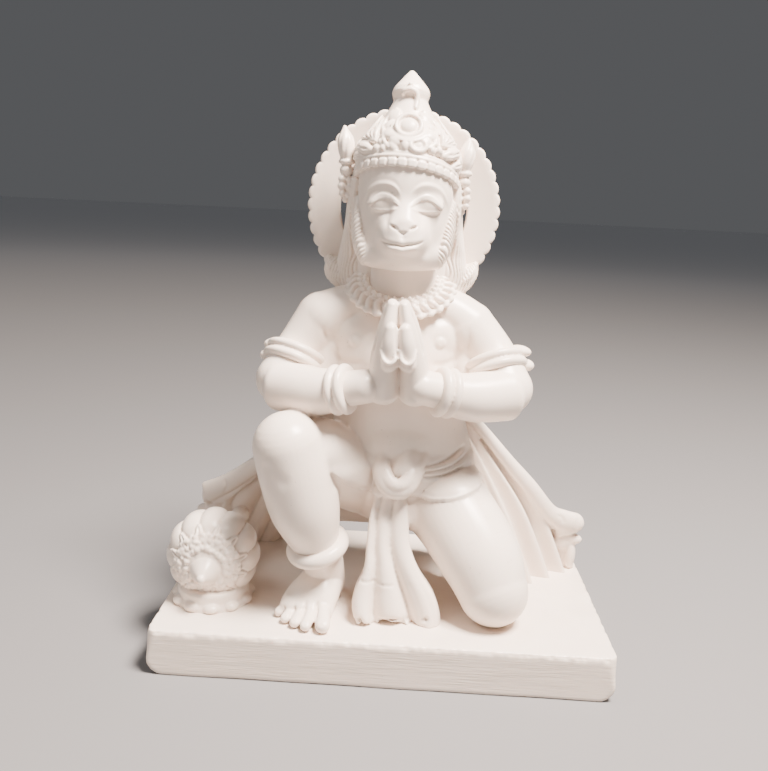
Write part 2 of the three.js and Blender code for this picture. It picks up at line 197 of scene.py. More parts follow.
# A ring around an oval: section is a closed list of [outwards, along the axis], and relief(angle)
# swells what stands out.
def hoop(bm, middle, axis, radii, section, steps=72, relief=None):
    base = 100  # keeps the section clear of the middle while it is turned
    made = turned(bm, [(base + out, rise) for out, rise in [*section, section[0]]], steps)
    co = np.array([v.co for v in made])
    angle = np.arctan2(co[:, 1], co[:, 0])
    out = np.hypot(co[:, 0], co[:, 1]) - base
    if relief:
        out = np.where(out > 0, out * relief(angle), out)
    up, first, second = axesOf(axis)
    points = np.array(middle, float) + up * co[:, 2:3]
    points = points + first * (np.cos(angle) * (radii[0] + out))[:, None]
    moveTo(made, points + second * (np.sin(angle) * (radii[1] + out))[:, None])


def roundBand(out, half, inner):
    angles = np.linspace(-pi / 2, pi / 2, 9)
    return [(-inner, -half), *[(out * cos(a), half * sin(a)) for a in angles], (-inner, half)]


# Cloth hung between two edges, each from top to bottom. relief(u, v) lifts its front, and behind(u, v)
# its back.
def cloth(bm, edgeA, edgeB, thickness, relief, behind, across, down):
    def base(u, v):
        a = sample(edgeA, v * (len(edgeA) - 1))
        b = sample(edgeB, v * (len(edgeB) - 1))
        return a + (b - a) * np.clip(u, 0, 1)[:, None]

    def make(small):
        bmesh.ops.create_grid(small, x_segments=across, y_segments=down, size=0.5)
        grown = bmesh.ops.extrude_face_region(small, geom=small.faces[:])["geom"]
        front = {v for v in grown if isinstance(v, bmesh.types.BMVert)}
        verts = small.verts[:]
        co = np.array([v.co for v in verts])
        u, v = co[:, 0] + 0.5, 0.5 - co[:, 1]
        sideways = base(u + 0.01, v) - base(u - 0.01, v)
        downwards = base(u, v + 0.01) - base(u, v - 0.01)
        outward = unit(np.cross(downwards, sideways))
        back = -thickness - (behind(u, v) if behind else 0)
        lift = np.where([w in front for w in verts], relief(u, v), back)
        moveTo(verts, base(u, v) + outward * lift[:, None])
        bmesh.ops.recalc_face_normals(small, faces=small.faces)

    added(bm, make)


def objectOf(bm, name):
    mesh = bpy.data.meshes.new(name)
    bm.to_mesh(mesh)
    bm.free()
    obj = bpy.data.objects.new(name, mesh)
    scene.collection.objects.link(obj)
    return obj


# Applies an object's modifiers.
def settled(obj):
    shaped = bpy.data.meshes.new_from_object(obj.evaluated_get(bpy.context.evaluated_depsgraph_get()))
    obj.modifiers.clear()
    old, obj.data = obj.data, shaped
    bpy.data.meshes.remove(old)
    return obj


# Joins overlapping forms into one skin of small squares and softens their meetings.
def fused(bm, name, voxel, soften):
    obj = objectOf(bm, name)
    remesh = obj.modifiers.new("skin", "REMESH")
    remesh.mode = "VOXEL"
    remesh.voxel_size = voxel * coarse
    relax = obj.modifiers.new("soften", "SMOOTH")
    relax.factor = 0.5
    relax.iterations = max(1, round(soften / coarse))
    return settled(obj)


# A fused skin while it is carved.
class Carving:
    facing = -0.1  # a normal with a smaller y is turned to the viewer
    behind = 14  # a stroke from the front reaches this far past its path
    nearby = 25  # a dab from the front moves what is this near its middle, front to back

    def __init__(self, obj):
        self.obj = obj
        self.count = len(obj.data.vertices)
        self.points = self.values("co")
        self.normals = self.values("normal")

    def values(self, name):
        found = np.empty(self.count * 3, np.float32)
        self.obj.data.vertices.foreach_get(name, found)
        return found.reshape(-1, 3).astype(float)

    def write(self):
        self.obj.data.vertices.foreach_set("co", self.points.astype(np.float32).ravel())
        self.obj.data.update()
        self.normals = self.values("normal")

    # Raises (or sinks, below 0) the skin by height along a path, width being its half width. From
    # the front, only x and z count, and only faces turned to the viewer move.
    def stroke(self, path, width, height, front=False, taper=0.25, back=None):
        path = np.asarray(path, float)
        if len(path) > 2:
            path = sample(path, np.linspace(0, len(path) - 1, 8 * len(path)))
        low, high = path.min(0) - 3 * width, path.max(0) + 3 * width
        keep = [0, 2] if front else [0, 1, 2]
        near = np.all((self.points[:, keep] > low[keep]) & (self.points[:, keep] < high[keep]), axis=1)
        if front:
            near &= self.normals[:, 1] < self.facing
            near &= self.points[:, 1] < (high[1] + self.behind if back is None else back)
        spots = np.flatnonzero(near)
        p, line = self.points[spots][:, keep], path[:, keep]
        best, share = np.full(len(spots), 1e9), np.zeros(len(spots))
        for k in range(len(line) - 1):
            a, d = line[k], line[k + 1] - line[k]
            t = np.clip(((p - a) @ d) / max(d @ d, 1e-9), 0, 1)
            gap = np.linalg.norm(p - a - t[:, None] * d, axis=1)
            nearer = gap < best
            best[nearer], share[nearer] = gap[nearer], ((k + t) / (len(line) - 1))[nearer]
        lift = height * bell(best, width) * smooth(share, taper) * smooth(1 - share, taper)
        self.points[spots] += self.normals[spots] * lift[:, None]

    # One stroke for each row of a path, a width and a height.
    def strokes(self, rows, **options):
        for path, width, height in rows:
            self.stroke(path, width, height, **options)

    # Lifts (or sinks) a round spot.
    def dab(self, middle, radius, height, power=2, front=False):
        keep = [0, 2] if front else [0, 1, 2]
        gap = np.linalg.norm(self.points[:, keep] - np.asarray(middle, float)[keep], axis=1)
        lift = height * np.exp(-((gap / radius) ** power))
        if front:
            depth = np.abs(self.points[:, 1] - middle[1])
            lift = lift * (self.normals[:, 1] < self.facing) * (depth < self.nearby)
        self.points += self.normals * lift[:, None]

    # Evens the skin out, by an amount of 0 to 1 at each point.
    def relax(self, times, amount):
        edges = np.empty(len(self.obj.data.edges) * 2, np.int32)
        self.obj.data.edges.foreach_get("vertices", edges)
        a, b = edges.reshape(-1, 2).T
        weight = np.bincount(a, minlength=self.count) + np.bincount(b, minlength=self.count)
        for _ in range(times):
            for k in range(3):
                p = self.points[:, k]
                total = np.bincount(a, p[b], self.count) + np.bincount(b, p[a], self.count)
                self.points[:, k] = p + 0.5 * amount * (total / np.maximum(weight, 1) - p)


# Puts a finished piece in place, in metres, with its finish and body, and hides the model's part that it
# stands for.
def finishPiece(obj, material, most):
    triangles = sum(len(p.vertices) - 2 for p in obj.data.polygons)
    if triangles > most:
        obj.modifiers.new("thin", "DECIMATE").ratio = most / triangles
        settled(obj)
    mesh = obj.data
    mesh.transform(Matrix.Scale(0.001, 4) @ Matrix.Translation((0, 0, plinthHeight)))
    for p in mesh.polygons:
        p.use_smooth = True
    mesh.materials.append(material)
    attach(obj, "root")
    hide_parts(node)
    print(obj.name, sum(len(p.vertices) - 2 for p in mesh.polygons), "triangles")


# A value in a material's nodes.
class Shade:
    def __init__(self, tree, socket=None):
        self.tree, self.socket = tree, socket

    def math(self, operation, *values):
        return self.node("Math", {"operation": operation}, dict(enumerate(values)))

    def __add__(self, other):
        return self.math("ADD", self, other)

    def __sub__(self, other):
        return self.math("SUBTRACT", self, other)

    def __rsub__(self, other):
        return self.math("SUBTRACT", other, self)

    def __mul__(self, other):
        return self.math("MULTIPLY", self, other)

    def __abs__(self):
        return self.math("ABSOLUTE", self)

    def feed(self, socket, value):
        if isinstance(value, Shade):
            self.tree.links.new(value.socket, socket)
        else:
            socket.default_value = value

    def node(self, kind, settings=None, inputs=None, output=0):
        made = self.tree.nodes.new("ShaderNode" + kind)
        for key, value in (settings or {}).items():
            setattr(made, key, value)
        for key, value in (inputs or {}).items():
            self.feed(made.inputs[key], value)
        return Shade(self.tree, made.outputs[output] if made.outputs else None)

    def ramp(self, low, high):
        limits = {"Value": self, "From Min": low, "From Max": high}
        return self.node("MapRange", {"interpolation_type": "SMOOTHSTEP"}, limits)


def mixed(factor, a, b):
    made = factor.tree.nodes.new("ShaderNodeMix")
    made.data_type = "RGBA"
    for key, value in (("Factor", factor), ("A", a), ("B", b)):
        factor.feed(next(s for s in made.inputs if s.name == key and s.enabled), value)
    return Shade(factor.tree, next(s for s in made.outputs if s.enabled))


marbleLook = {
    "white": (0.88, 0.78, 0.695, 1),
    "shade": (0.74, 0.645, 0.565, 1),
    "vein": (0.64, 0.565, 0.505, 1),
    "dirt": (0.30, 0.25, 0.21, 1),
    # painted shade for the hollows, also the colour of the saw streaks on sawn sides
    "groove": (0.62, 0.52, 0.43, 1),
    "clouding": 0.55,
    "veining": 0.22,
    # strength of the painted shade in the hollows
    "hollowShading": 0.6,
    "dirtiness": 0.35,
    "roughness": 0.32,
    "bump": 0.22,
    "bumpDepth": 0.0006,
    "translucence": 0.22,
    "scatter": 0.0022,
    "sawRoughness": 0.2,
    "sawBump": 1.2,
}


# White marble with clouds, faint veins, a fine sugary grain, a few specks of dirt and painted shade in its
# hollows.
def marbleFinish(name, sawn=False):
    material = bpy.data.materials.new(name)
    material.use_nodes = True
    tree = material.node_tree
    tree.nodes.clear()
    start = Shade(tree)
    place = start.node("TexCoord", output="Object")
    look = marbleLook

    def noise(scale, detail, stretch=(1, 1, 1), distortion=0.0, offset=(0, 0, 0)):
        moved = start.node("Mapping", inputs={"Vector": place, "Scale": stretch, "Location": offset})
        inputs = {"Vector": moved, "Scale": scale, "Detail": detail, "Distortion": distortion}
        return start.node("TexNoise", inputs=inputs)

    small = noise(38, 3, offset=(2, 9, 4)).ramp(0.4, 0.75)
    clouds = noise(14, 4, distortion=0.6).ramp(0.35, 0.7) * 0.6 + small * 0.4
    veins = 1 - abs(noise(7, 5, (1, 1, 0.35), 1.4, (3, 1, 2)) - 0.5) * 26
    veins = veins.ramp(0, 1) * noise(9, 2, offset=(5, 5, 5)).ramp(0.5, 0.75)
    colour = mixed(clouds * look["clouding"], look["white"], look["shade"])
    colour = mixed(veins * look["veining"], colour, look["vein"])
    # painted shade: concave places, found by the surface's pointiness, are darkened
    bend = start.node("NewGeometry", output="Pointiness")
    colour = mixed((0.5 - bend).ramp(0.005, 0.07) * look["hollowShading"], colour, look["groove"])
    specks = noise(420, 1, offset=(1, 7, 3)).ramp(0.76, 0.80)
    colour = mixed(specks * look["dirtiness"], colour, look["dirt"])
    wear = noise(90, 3)
    roughness = wear * 0.16 + (look["roughness"] - 0.08)
    height = noise(1500, 2) * 0.25 + wear * 0.75
    if sawn:
        normal = start.node("NewGeometry", output="Normal")
        facing = start.node("SeparateXYZ", inputs={"Vector": normal}, output="Z")
        side = 1 - abs(facing).ramp(0.3, 0.7)
        lines = noise(60, 3, (0.35, 0.35, 4))
        fine = noise(260, 2, (0.2, 0.2, 3))
        patches = noise(16, 3, (1, 1, 1.6), 0.8, (4, 1, 6)).ramp(0.35, 0.65) * 0.7 + 0.3
        saw = (lines * 0.5 + fine * 0.5).ramp(0.3, 0.7) * patches
        colour = mixed(side * (saw * 0.22 + 0.1), colour, look["groove"])
        roughness = roughness + side * look["sawRoughness"]
        height = height * (1 - side * 0.4) + side * saw * look["sawBump"]
    bumps = {"Height": height, "Strength": look["bump"], "Distance": look["bumpDepth"]}
    inputs = {
        "Base Color": colour,
        "Roughness": roughness,
        "Normal": start.node("Bump", inputs=bumps),
        "IOR": 1.5,
        "Specular IOR Level": 0.5,
        "Subsurface Weight": look["translucence"],
        "Subsurface Radius": (1.0, 0.78, 0.6),
        "Subsurface Scale": look["scatter"],
    }
    shader = start.node("BsdfPrincipled", {"subsurface_method": "RANDOM_WALK"}, inputs)
    start.node("OutputMaterial", inputs={"Surface": shader})
    return material


marble = marbleFinish("polished marble")
sawnMarble = marbleFinish("sawn marble", sawn=True)
print("finishes made")


# Draws a piece by some functions, fuses it into one skin, carves it by others and finishes it.
def makePiece(name, look, adds, carves=(), material=marble, place=None):
    bm = bmesh.new()
    for add in adds:
        add(bm)
    obj = fused(bm, name, look["voxel"], look["soften"])
    carve = Carving(obj)
    for cut in carves:
        cut(carve)
        carve.write()
    if place:
        obj.data.transform(place)
    finishPiece(obj, material, look["triangles"])


# The body, arms, hands and legs.
bodyLook = {"voxel": 1.45, "soften": 3, "triangles": 160000}
armShift = {-1: 0, 1: 2}  # the arm at the viewer's right sits further in and higher


def addTrunk(bm):
    spine = [
        [6, 4, 72, 40, 34],
        [6, 2, 94, 60, 43],
        [6, -3, 122, 60, 43],
        [4, -7, 152, 54, 41],
        [1, -8, 188, 53, 38],
        [0, -7, 216, 54, 34],
        [0, -6, 243, 44, 25],
        [0, -8, 257, 26, 18],
    ]
    chest = [[-9, -24, 217, 19, 14], [-34, -21, 218, 19, 12.5], [-49, -13, 220, 15, 9]]
    shoulders = [
        [-60, -10, 230, 21, 23], [-30, -6, 242, 17, 20], [30, -6, 243, 17, 20], [57, -10, 229, 20, 21],
    ]
    neck = [[1, -8, 240, 30, 23], [2, -12, 262, 26.5, 22], [2, -16, 290, 25, 21]]
    limb(bm, spine, along=60, capLength=0.4)
    ball(bm, (5, -14, 138), (44, 36, 36), segments=40)
    for rows in (chest, sided(chest, -1), shoulders):
        limb(bm, rows, side=(0, 0, 1))
    limb(bm, neck, capLength=0.3)


# Rows drawn for the arm at the viewer's left, placed for either arm.
def armRows(hand, rows):
    shift = armShift[hand]
    return [[-hand * (x + shift), y, z + shift, *rest] for x, y, z, *rest in rows]


def addArms(bm):
    for hand in (-1, 1):
        shoulder = [-61, -10, 229, 22, 22] if hand < 0 else [-58.5, -10, 224.5, 22, 22]
        upper = [shoulder, [-77, -18, 206, 19, 19], [-89, -34, 182, 21, 20]]
        lower = [[-89, -37, 179, 21, 21], [-62, -50, 178, 19, 19], [-40, -58, 182.5, 15.5, 16]]
        limb(bm, armRows(hand, upper))
        limb(bm, armRows(hand, lower), side=(0, 0, 1), capLength=0.5)
        limb(bm, armRows(hand, [[-50, -10, 214, 13, 14], [-60, -20, 190, 14, 14]]))


# A spot in a hand, out from the leaning plane where the palms meet.
def palmSpot(hand, out, y, z):
    return [2.4 - 0.055 * (z - 205) + hand * out, y, z]


# The palms, with the little fingers in front and lower than the others, as rows of [out, y, z,
# across, through].
palm = [
    (12, -60, 182, 12, 14), (11, -62, 205, 11, 16), (9.3, -65, 222, 9, 15), (6.8, -67, 238, 6.9, 12.5),
    (4.2, -69, 251, 4, 7),
]
littleFinger = [(6.6, -76.5, 208, 6.5, 6), (6.2, -79, 222, 6, 5.5), (5, -78.5, 233, 4.6, 4.6)]


def addHands(bm):
    for hand in (-1, 1):
        wrist = armRows(hand, [[-42, -57.5, 182, 14, 14], [-22, -64, 187, 13, 14]])
        limb(bm, wrist, side=(0, 0, 1))
        limb(bm, [[*palmSpot(hand, *r[:3]), *r[3:]] for r in palm], around=56, along=60, capLength=0.7)
        limb(bm, [[*palmSpot(hand, *r[:3]), *r[3:]] for r in littleFinger], around=32, along=30)
        rim = [(1.2, -82, 218), (2.4, -84.3, 212), (6.6, -85.2, 209.2), (10.8, -83.8, 212), (12.4, -80, 218)]
        string(bm, [palmSpot(hand, *spot) for spot in rim], 1.5)


# Cuts the gaps between the fingers.
def carveHands(carve):
    gap = (
        (214, 2, 10, 10, -63.5, 15.5), (222, 1, 9.3, 9, -65, 15), (238, 0, 6.8, 6.9, -67, 12.5),
        (247, -0.5, 4.9, 4.9, -68, 9),
    )
    for hand in (-1, 1):
        for start in (-73.5, -67, -60.5):
            path = []
            for z, shift, out, across, middle, through in gap:
                y = start + shift
                side = sqrt(max(0, 1 - ((y - middle) / through) ** 2))
                path.append(palmSpot(hand, out + across * side, y, z))
            carve.stroke(path, 1.3, -1.5)
    meeting = [[1.6, -80, 205], [0.9, -84, 216], [0.3, -83, 228], [-0.2, -80, 240], [-0.4, -74, 252]]
    carve.stroke(meeting, 1.3, -2.2)


def addLegs(bm):
    raisedThigh = [
        [-24, 4, 98, 37, 36], [-46, -26, 114, 34, 33], [-62, -50, 129, 30, 29], [-72, -62, 136, 22, 22],
    ]
    raisedShin = [
        [-78, -70, 139, 27, 27], [-71, -67, 112, 28, 28], [-64, -63, 86, 27, 27], [-56, -57, 58, 19, 20],
    ]
    kneelingThigh = [
        [32, 2, 92, 38, 38], [54, -24, 74, 35, 36], [75, -48, 49, 33, 33], [86, -62, 27, 28, 28],
    ]
    kneelingShin = [
        [86, -58, 22, 24, 24], [80, -10, 20, 20, 21], [72, 40, 13, 14, 15], [67, 74, 8, 12, 11],
    ]
    limb(bm, raisedThigh)
    limb(bm, raisedShin, along=60)
    limb(bm, kneelingThigh)
    ball(bm, (23, -33, 77), (15, 10.5, 16))
    limb(bm, kneelingShin)
    limb(bm, [[68, 70, 9, 12, 11], [64, 92, 6, 14, 8]])
    for k in range(5):
        ball(bm, (52.5 + 5.6 * k, 98 - 0.7 * k, 5), (3.6 if k else 4.6, 6, 4.2))


# The front foot's toes, each as root, tip and half width.
toes = [
    ([-47, -72, 8.5], [-45, -94.5, 5.6], 6.4),
    ([-55.5, -75, 8.5], [-58, -94.5, 4.8], 4.7),
    ([-62.5, -73, 8.2], [-66.8, -90, 4.6], 4.6),
    ([-69, -69, 7.8], [-75, -84, 4.4], 4.4),
    ([-74.5, -64, 7.4], [-81.5, -74, 4.2], 4.2),
]


# The foot in front, from the ankle down.
def addFoot(bm):
    ankle = [
        [-55.5, -56, 58, 17.5, 18.5], [-51, -50, 40, 16.5, 17], [-49, -43, 24, 16, 16.5],
        [-49, -36, 12, 16, 14],
    ]
    foot = [
        [-49, -34, 12, 15, 13], [-50.5, -46, 18, 17, 18], [-54.5, -57, 15, 19.5, 16],
        [-59, -67, 10, 21.5, 11], [-60.5, -74, 7, 21.5, 8],
    ]
    limb(bm, ankle, capLength=0.6)
    limb(bm, foot)
    for root, tip, r in toes:
        limb(bm, [[*root, r, r], [*tip, r * 0.9, r * 0.85]], around=28, along=24)


def carveFoot(carve):
    for (root, tip, _), (nextRoot, nextTip, _) in zip(toes, toes[1:]):
        path = [[(a + b) / 2 for a, b in zip(*pair)] for pair in ((root, nextRoot), (tip, nextTip))]
        path[0] = [path[0][0], path[0][1] + 4, path[0][2] + 7.5]
        path[1][2] += 3
        carve.stroke(path, 1.3, -2.3, taper=0.3)
    for _, (x, y, z), r in toes:  # nails
        carve.dab((x, y - r * 0.55, z + r * 0.75), r * 0.5, -0.5, power=6)


def addWaistCloth(bm):
    hoop(bm, (6, -3, 124), (0.04, 0, 1), (57, 41), roundBand(4, 7, 6))
    outer = [
        [-6, -44, 130], [-7, -49, 117], [-3, -53.5, 107.5], [5.5, -56, 103.5], [14, -54.5, 107],
        [18.5, -50.5, 115], [25, -44, 128],
    ]
    inner = [
        [-5, -46, 127], [-3.6, -52, 117], [1, -57, 110.5], [7.5, -58.6, 109], [13.5, -56.5, 112.5],
        [17, -52, 119],
    ]
    limb(bm, [[8, -49, 115, 6, 4], [11.5, -50, 121, 8, 5], [16, -47, 131, 7, 4]], around=28, along=30)
    for path, r in ((outer, 4.3), (inner, 2.8)):
        string(bm, path, r, around=28, along=70, caps=5, side=(0, -1, 0))


frontClothLook = {"thickness": 10, "depth": 10.5}


# The cloth that hangs in front, in three flutes that spread on the plinth.
def addFrontCloth(bm):
    heights = [104, 80, 58, 40, 24, 10, -1]
    leftX, leftY = [-9, -14.3, -15.9, -16.8, -22.8, -24.5, -21], [-46, -50, -57, -62, -66, -70, -72]
    rightX, rightY = [12, 16, 19, 27, 38.5, 44, 45], [-46, -50, -56, -60, -62, -63, -63]
    edges = list(zip(leftX, leftY, heights)), list(zip(rightX, rightY, heights))
    shares = [k / 6 for k in range(7)]
    firstValley = [0.26, 0.18, 0.19, 0.19, 0.24, 0.24, 0.21]
    secondValley = [0.65, 0.54, 0.53, 0.56, 0.6, 0.64, 0.67]

    def flutes(u, v):
        first, second = np.interp(v, shares, firstValley), np.interp(v, shares, secondValley)
        low = np.where(u < first, -0.04, np.where(u < second, first, second))
        high = np.where(u < first, first, np.where(u < second, second, 1.04))
        share = np.clip(np.abs(2 * (u - low) / (high - low) - 1), 0, 1)
        crease = 0.9 * bell(share - 0.35, 0.1) * (u > second) * smooth((v - 0.3) * 3)
        return (4.0 + frontClothLook["depth"] * v) * (1 - share**2.3) ** 0.8 - crease

    cloth(bm, *edges, frontClothLook["thickness"], flutes, None, 130, 90)


def carveBody(carve):
    # the hem of the loincloth and the folds over the hip
    x, y, z = carve.points.T
    spots = [
        (-46, 122), (-32, 107), (-23, 99.4), (-12, 96.8), (2, 96), (15, 95.5), (33, 93.5), (51, 96.6),
        (71, 102.3), (84, 112),
    ]
    hem = between(x, spots)
    layer = smooth((z - hem) / 1.2 + 0.5) * smooth(128 - z, 12) * smooth(4 - y, 8)
    layer = layer * (carve.normals[:, 1] < 0.25)
    layer = layer * smooth(x + 48, 6) * smooth(84 - x, 6) * smooth(y + 75, 4)
    carve.points += carve.normals * (3.0 * layer)[:, None]
    carve.write()
    folds = (
        ([(22, 120.4), (36, 122.5), (51, 128), (60, 134)], 1.6, -2.4),
        ([(22, 116), (36, 116.8), (51, 120.4), (62, 127)], 1.5, -2.2),
        ([(23, 112), (36, 111.8), (48, 114), (62, 120)], 1.5, -2.0),
        ([(23, 118.2), (36, 119.6), (51, 124), (61, 130.5)], 1.5, 1.0),
        ([(23, 114), (36, 114.3), (50, 117.2), (62, 123.5)], 1.5, 0.9),
        ([(-33, 111), (-25, 103.5), (-14, 100.5)], 1.5, -1.0),
        ([(18, 99.5), (34, 97.8), (50, 100.6), (66, 106)], 1.6, -0.6),
    )
    carve.strokes([([[a, -42, b] for a, b in path], *sizes) for path, *sizes in folds], front=True, back=6)
    # the chest and the armpits
    chest = (
        ([[-52, -38, 209], [-46, -38, 201.5], [-36, -38, 198.5], [-24, -38, 201]], 2.8, -1.3),
        ([[25, -38, 202.5], [36, -38, 201], [46, -38, 204.5], [52.5, -38, 213]], 2.8, -1.3),
    )
    carve.strokes(chest, front=True)
    carve.stroke([[-60, -28, 228], [-55, -30, 217], [-51, -31, 206]], 2.4, -2.0)
    carve.stroke([[54, -28, 232], [56, -30, 221], [53, -31, 208]], 2.4, -2.0)
    for spot in ((-32.8, -46, 216.2), (33.2, -46, 218)):
        carve.dab(spot, 5.6, -0.3, power=4, front=True)
        carve.dab(spot, 4.0, 2.1, power=6, front=True)
    # the knee and the calf
    carve.stroke([[-52, -66, 128], [-47, -68, 118], [-48, -68, 104]], 7, -2.2)
    carve.stroke([[-92, -88, 132], [-84, -95, 122], [-72, -96, 116]], 6, -0.8)
    # hollows under the flutes of the hanging cloth and the step across it
    hollows = (
        ([[-20, -84, 7], [-15, -86, 2.5], [-10, -87, 0]], 2.4, -4.5),
        ([[-3, -90, -0.5], [4, -90, 3], [12, -90, 2.8], [19, -90, -0.5]], 3.2, -8),
        ([[32, -86, 8], [34.5, -86, 5]], 2.0, -3.0),
        ([[-19, -78, 33.5], [-12, -80, 33], [-7.5, -77, 32.4]], 0.9, -0.9),
        ([[-7, -78, 32], [0, -82, 31.4], [8, -79, 31]], 0.9, -0.9),
    )
    carve.strokes(hollows, front=True, taper=0.1)


makePiece("body", bodyLook, (addTrunk, addArms, addLegs, addWaistCloth, addFrontCloth), (carveBody,))

handsLook = {"voxel": 0.85, "soften": 2, "triangles": 70000}
makePiece("hands_and_foot", handsLook, (addHands, addFoot), (carveHands, carveFoot))


# The head: a calm monkey's face, whiskers and combed hair.
headLook = {
    "voxel": 0.75,
    "soften": 2,
    "triangles": 165000,
    "strand": 3.4,
    "strandDepth": 1.7,
    "whiskerDepth": 1.4,
}


def addHead(bm):
    skull = [
        [0.5, -29, 279, 23, 19],
        [0.5, -29, 287, 28, 22.5],
        [0.5, -27, 301, 32.5, 25],
        [0.5, -24, 317, 35.5, 28.5],
        [0.5, -22, 331, 36, 32],
        [0, -17, 350, 34, 31.5],
        [0, -16, 358, 26, 25],
    ]
    limb(bm, skull, around=64, along=60, capLength=0.3)
    ball(bm, (0.8, -45.5, 297.5), (20.5, 21, 18.5), segments=56)
    ball(bm, (0.8, -43, 283.5), (21, 12.5, 9.5), segments=40)
    ball(bm, (0.8, -41, 306), (21, 18, 13), segments=48)
    jaw = [[-23, -33, 279, 6, 8], [0.5, -40, 277.5, 5.5, 11], [24, -33, 279, 6, 8]]
    limb(bm, jaw, around=32, side=(0, 0, 1))
    nose = [
        [0.6, -48, 334, 9, 4], [0.6, -50.5, 323, 9, 4.5], [0.6, -55.5, 314, 10, 4.6],
        [0.6, -60, 307.5, 8.5, 5.2],
    ]
    limb(bm, nose, around=32, capLength=0.8)
    for s in (-1, 1):
        ball(bm, (0.6 + s * 6.6, -60.2, 306.8), (4.6, 4, 4), segments=24)
        ball(bm, (1 + s * 16, -45.6, 321), (13, 5, 7.5), segments=32)
        ball(bm, (0.8 + s * 18, -37, 285.5), (11, 9, 9), segments=32)
    lips = [[-9, -61.5, 289.5, 2.4, 3], [0.5, -64.6, 288, 3, 3.2], [10, -61.5, 290, 2.4, 3]]
    limb(bm, lips, around=24, side=(0, 0, 1))


def addHair(bm):
    whiskers = [
        [35.5, -22, 322, 3.5, 8], [34, -30, 303, 5, 8], [31, -34, 289, 5.5, 8], [27, -35, 279, 4.5, 7],
    ]
    falling = [
        [38, -8, 338, 5, 12], [39.5, -6, 322, 5, 13], [40.5, 0, 303, 6, 13], [41, 3, 284, 9, 12],
        [39, 2, 268, 14, 12], [36, 2, 250, 16, 10],
    ]
    for s in (-1, 1):
        limb(bm, sided(whiskers, s), around=32, along=50)
        limb(bm, sided(falling, s), around=48, along=60)
        limb(bm, sided([[26, 0, 300, 11, 13], [27, 0, 250, 13, 12]], s), around=32)
    back = [[0, 4, 352, 32, 21], [0, 12, 318, 36, 19], [0, 15, 285, 39, 17], [0, 17, 252, 37, 14]]
    limb(bm, back, around=72, along=80, capLength=0.5)
    for x in (-29, -15, 0, 15, 29):  # the ends of the locks on the back
        lock = [[x * 0.9, 19, 272, 9, 10], [x, 22, 254, 8.5, 9], [x * 1.04, 22, 240, 4.5, 5]]
        limb(bm, lock, around=32, along=30)


# The rolled ends of the hair, ribbed like shells.
def addCurls(bm):
    def ribs(share, angle):
        return 0.97 + 0.13 * np.abs(np.cos(4 * angle + share))

    roll = [[42, 1, 259, 7, 7], [49, 3, 264, 8, 9.5], [55, 5, 271, 6.5, 8], [59, 6, 276.5, 2.5, 3]]
    for s in (-1, 1):
        limb(bm, sided(roll, s), around=72, along=50, side=(0.6, 0, -0.8), bulge=ribs)


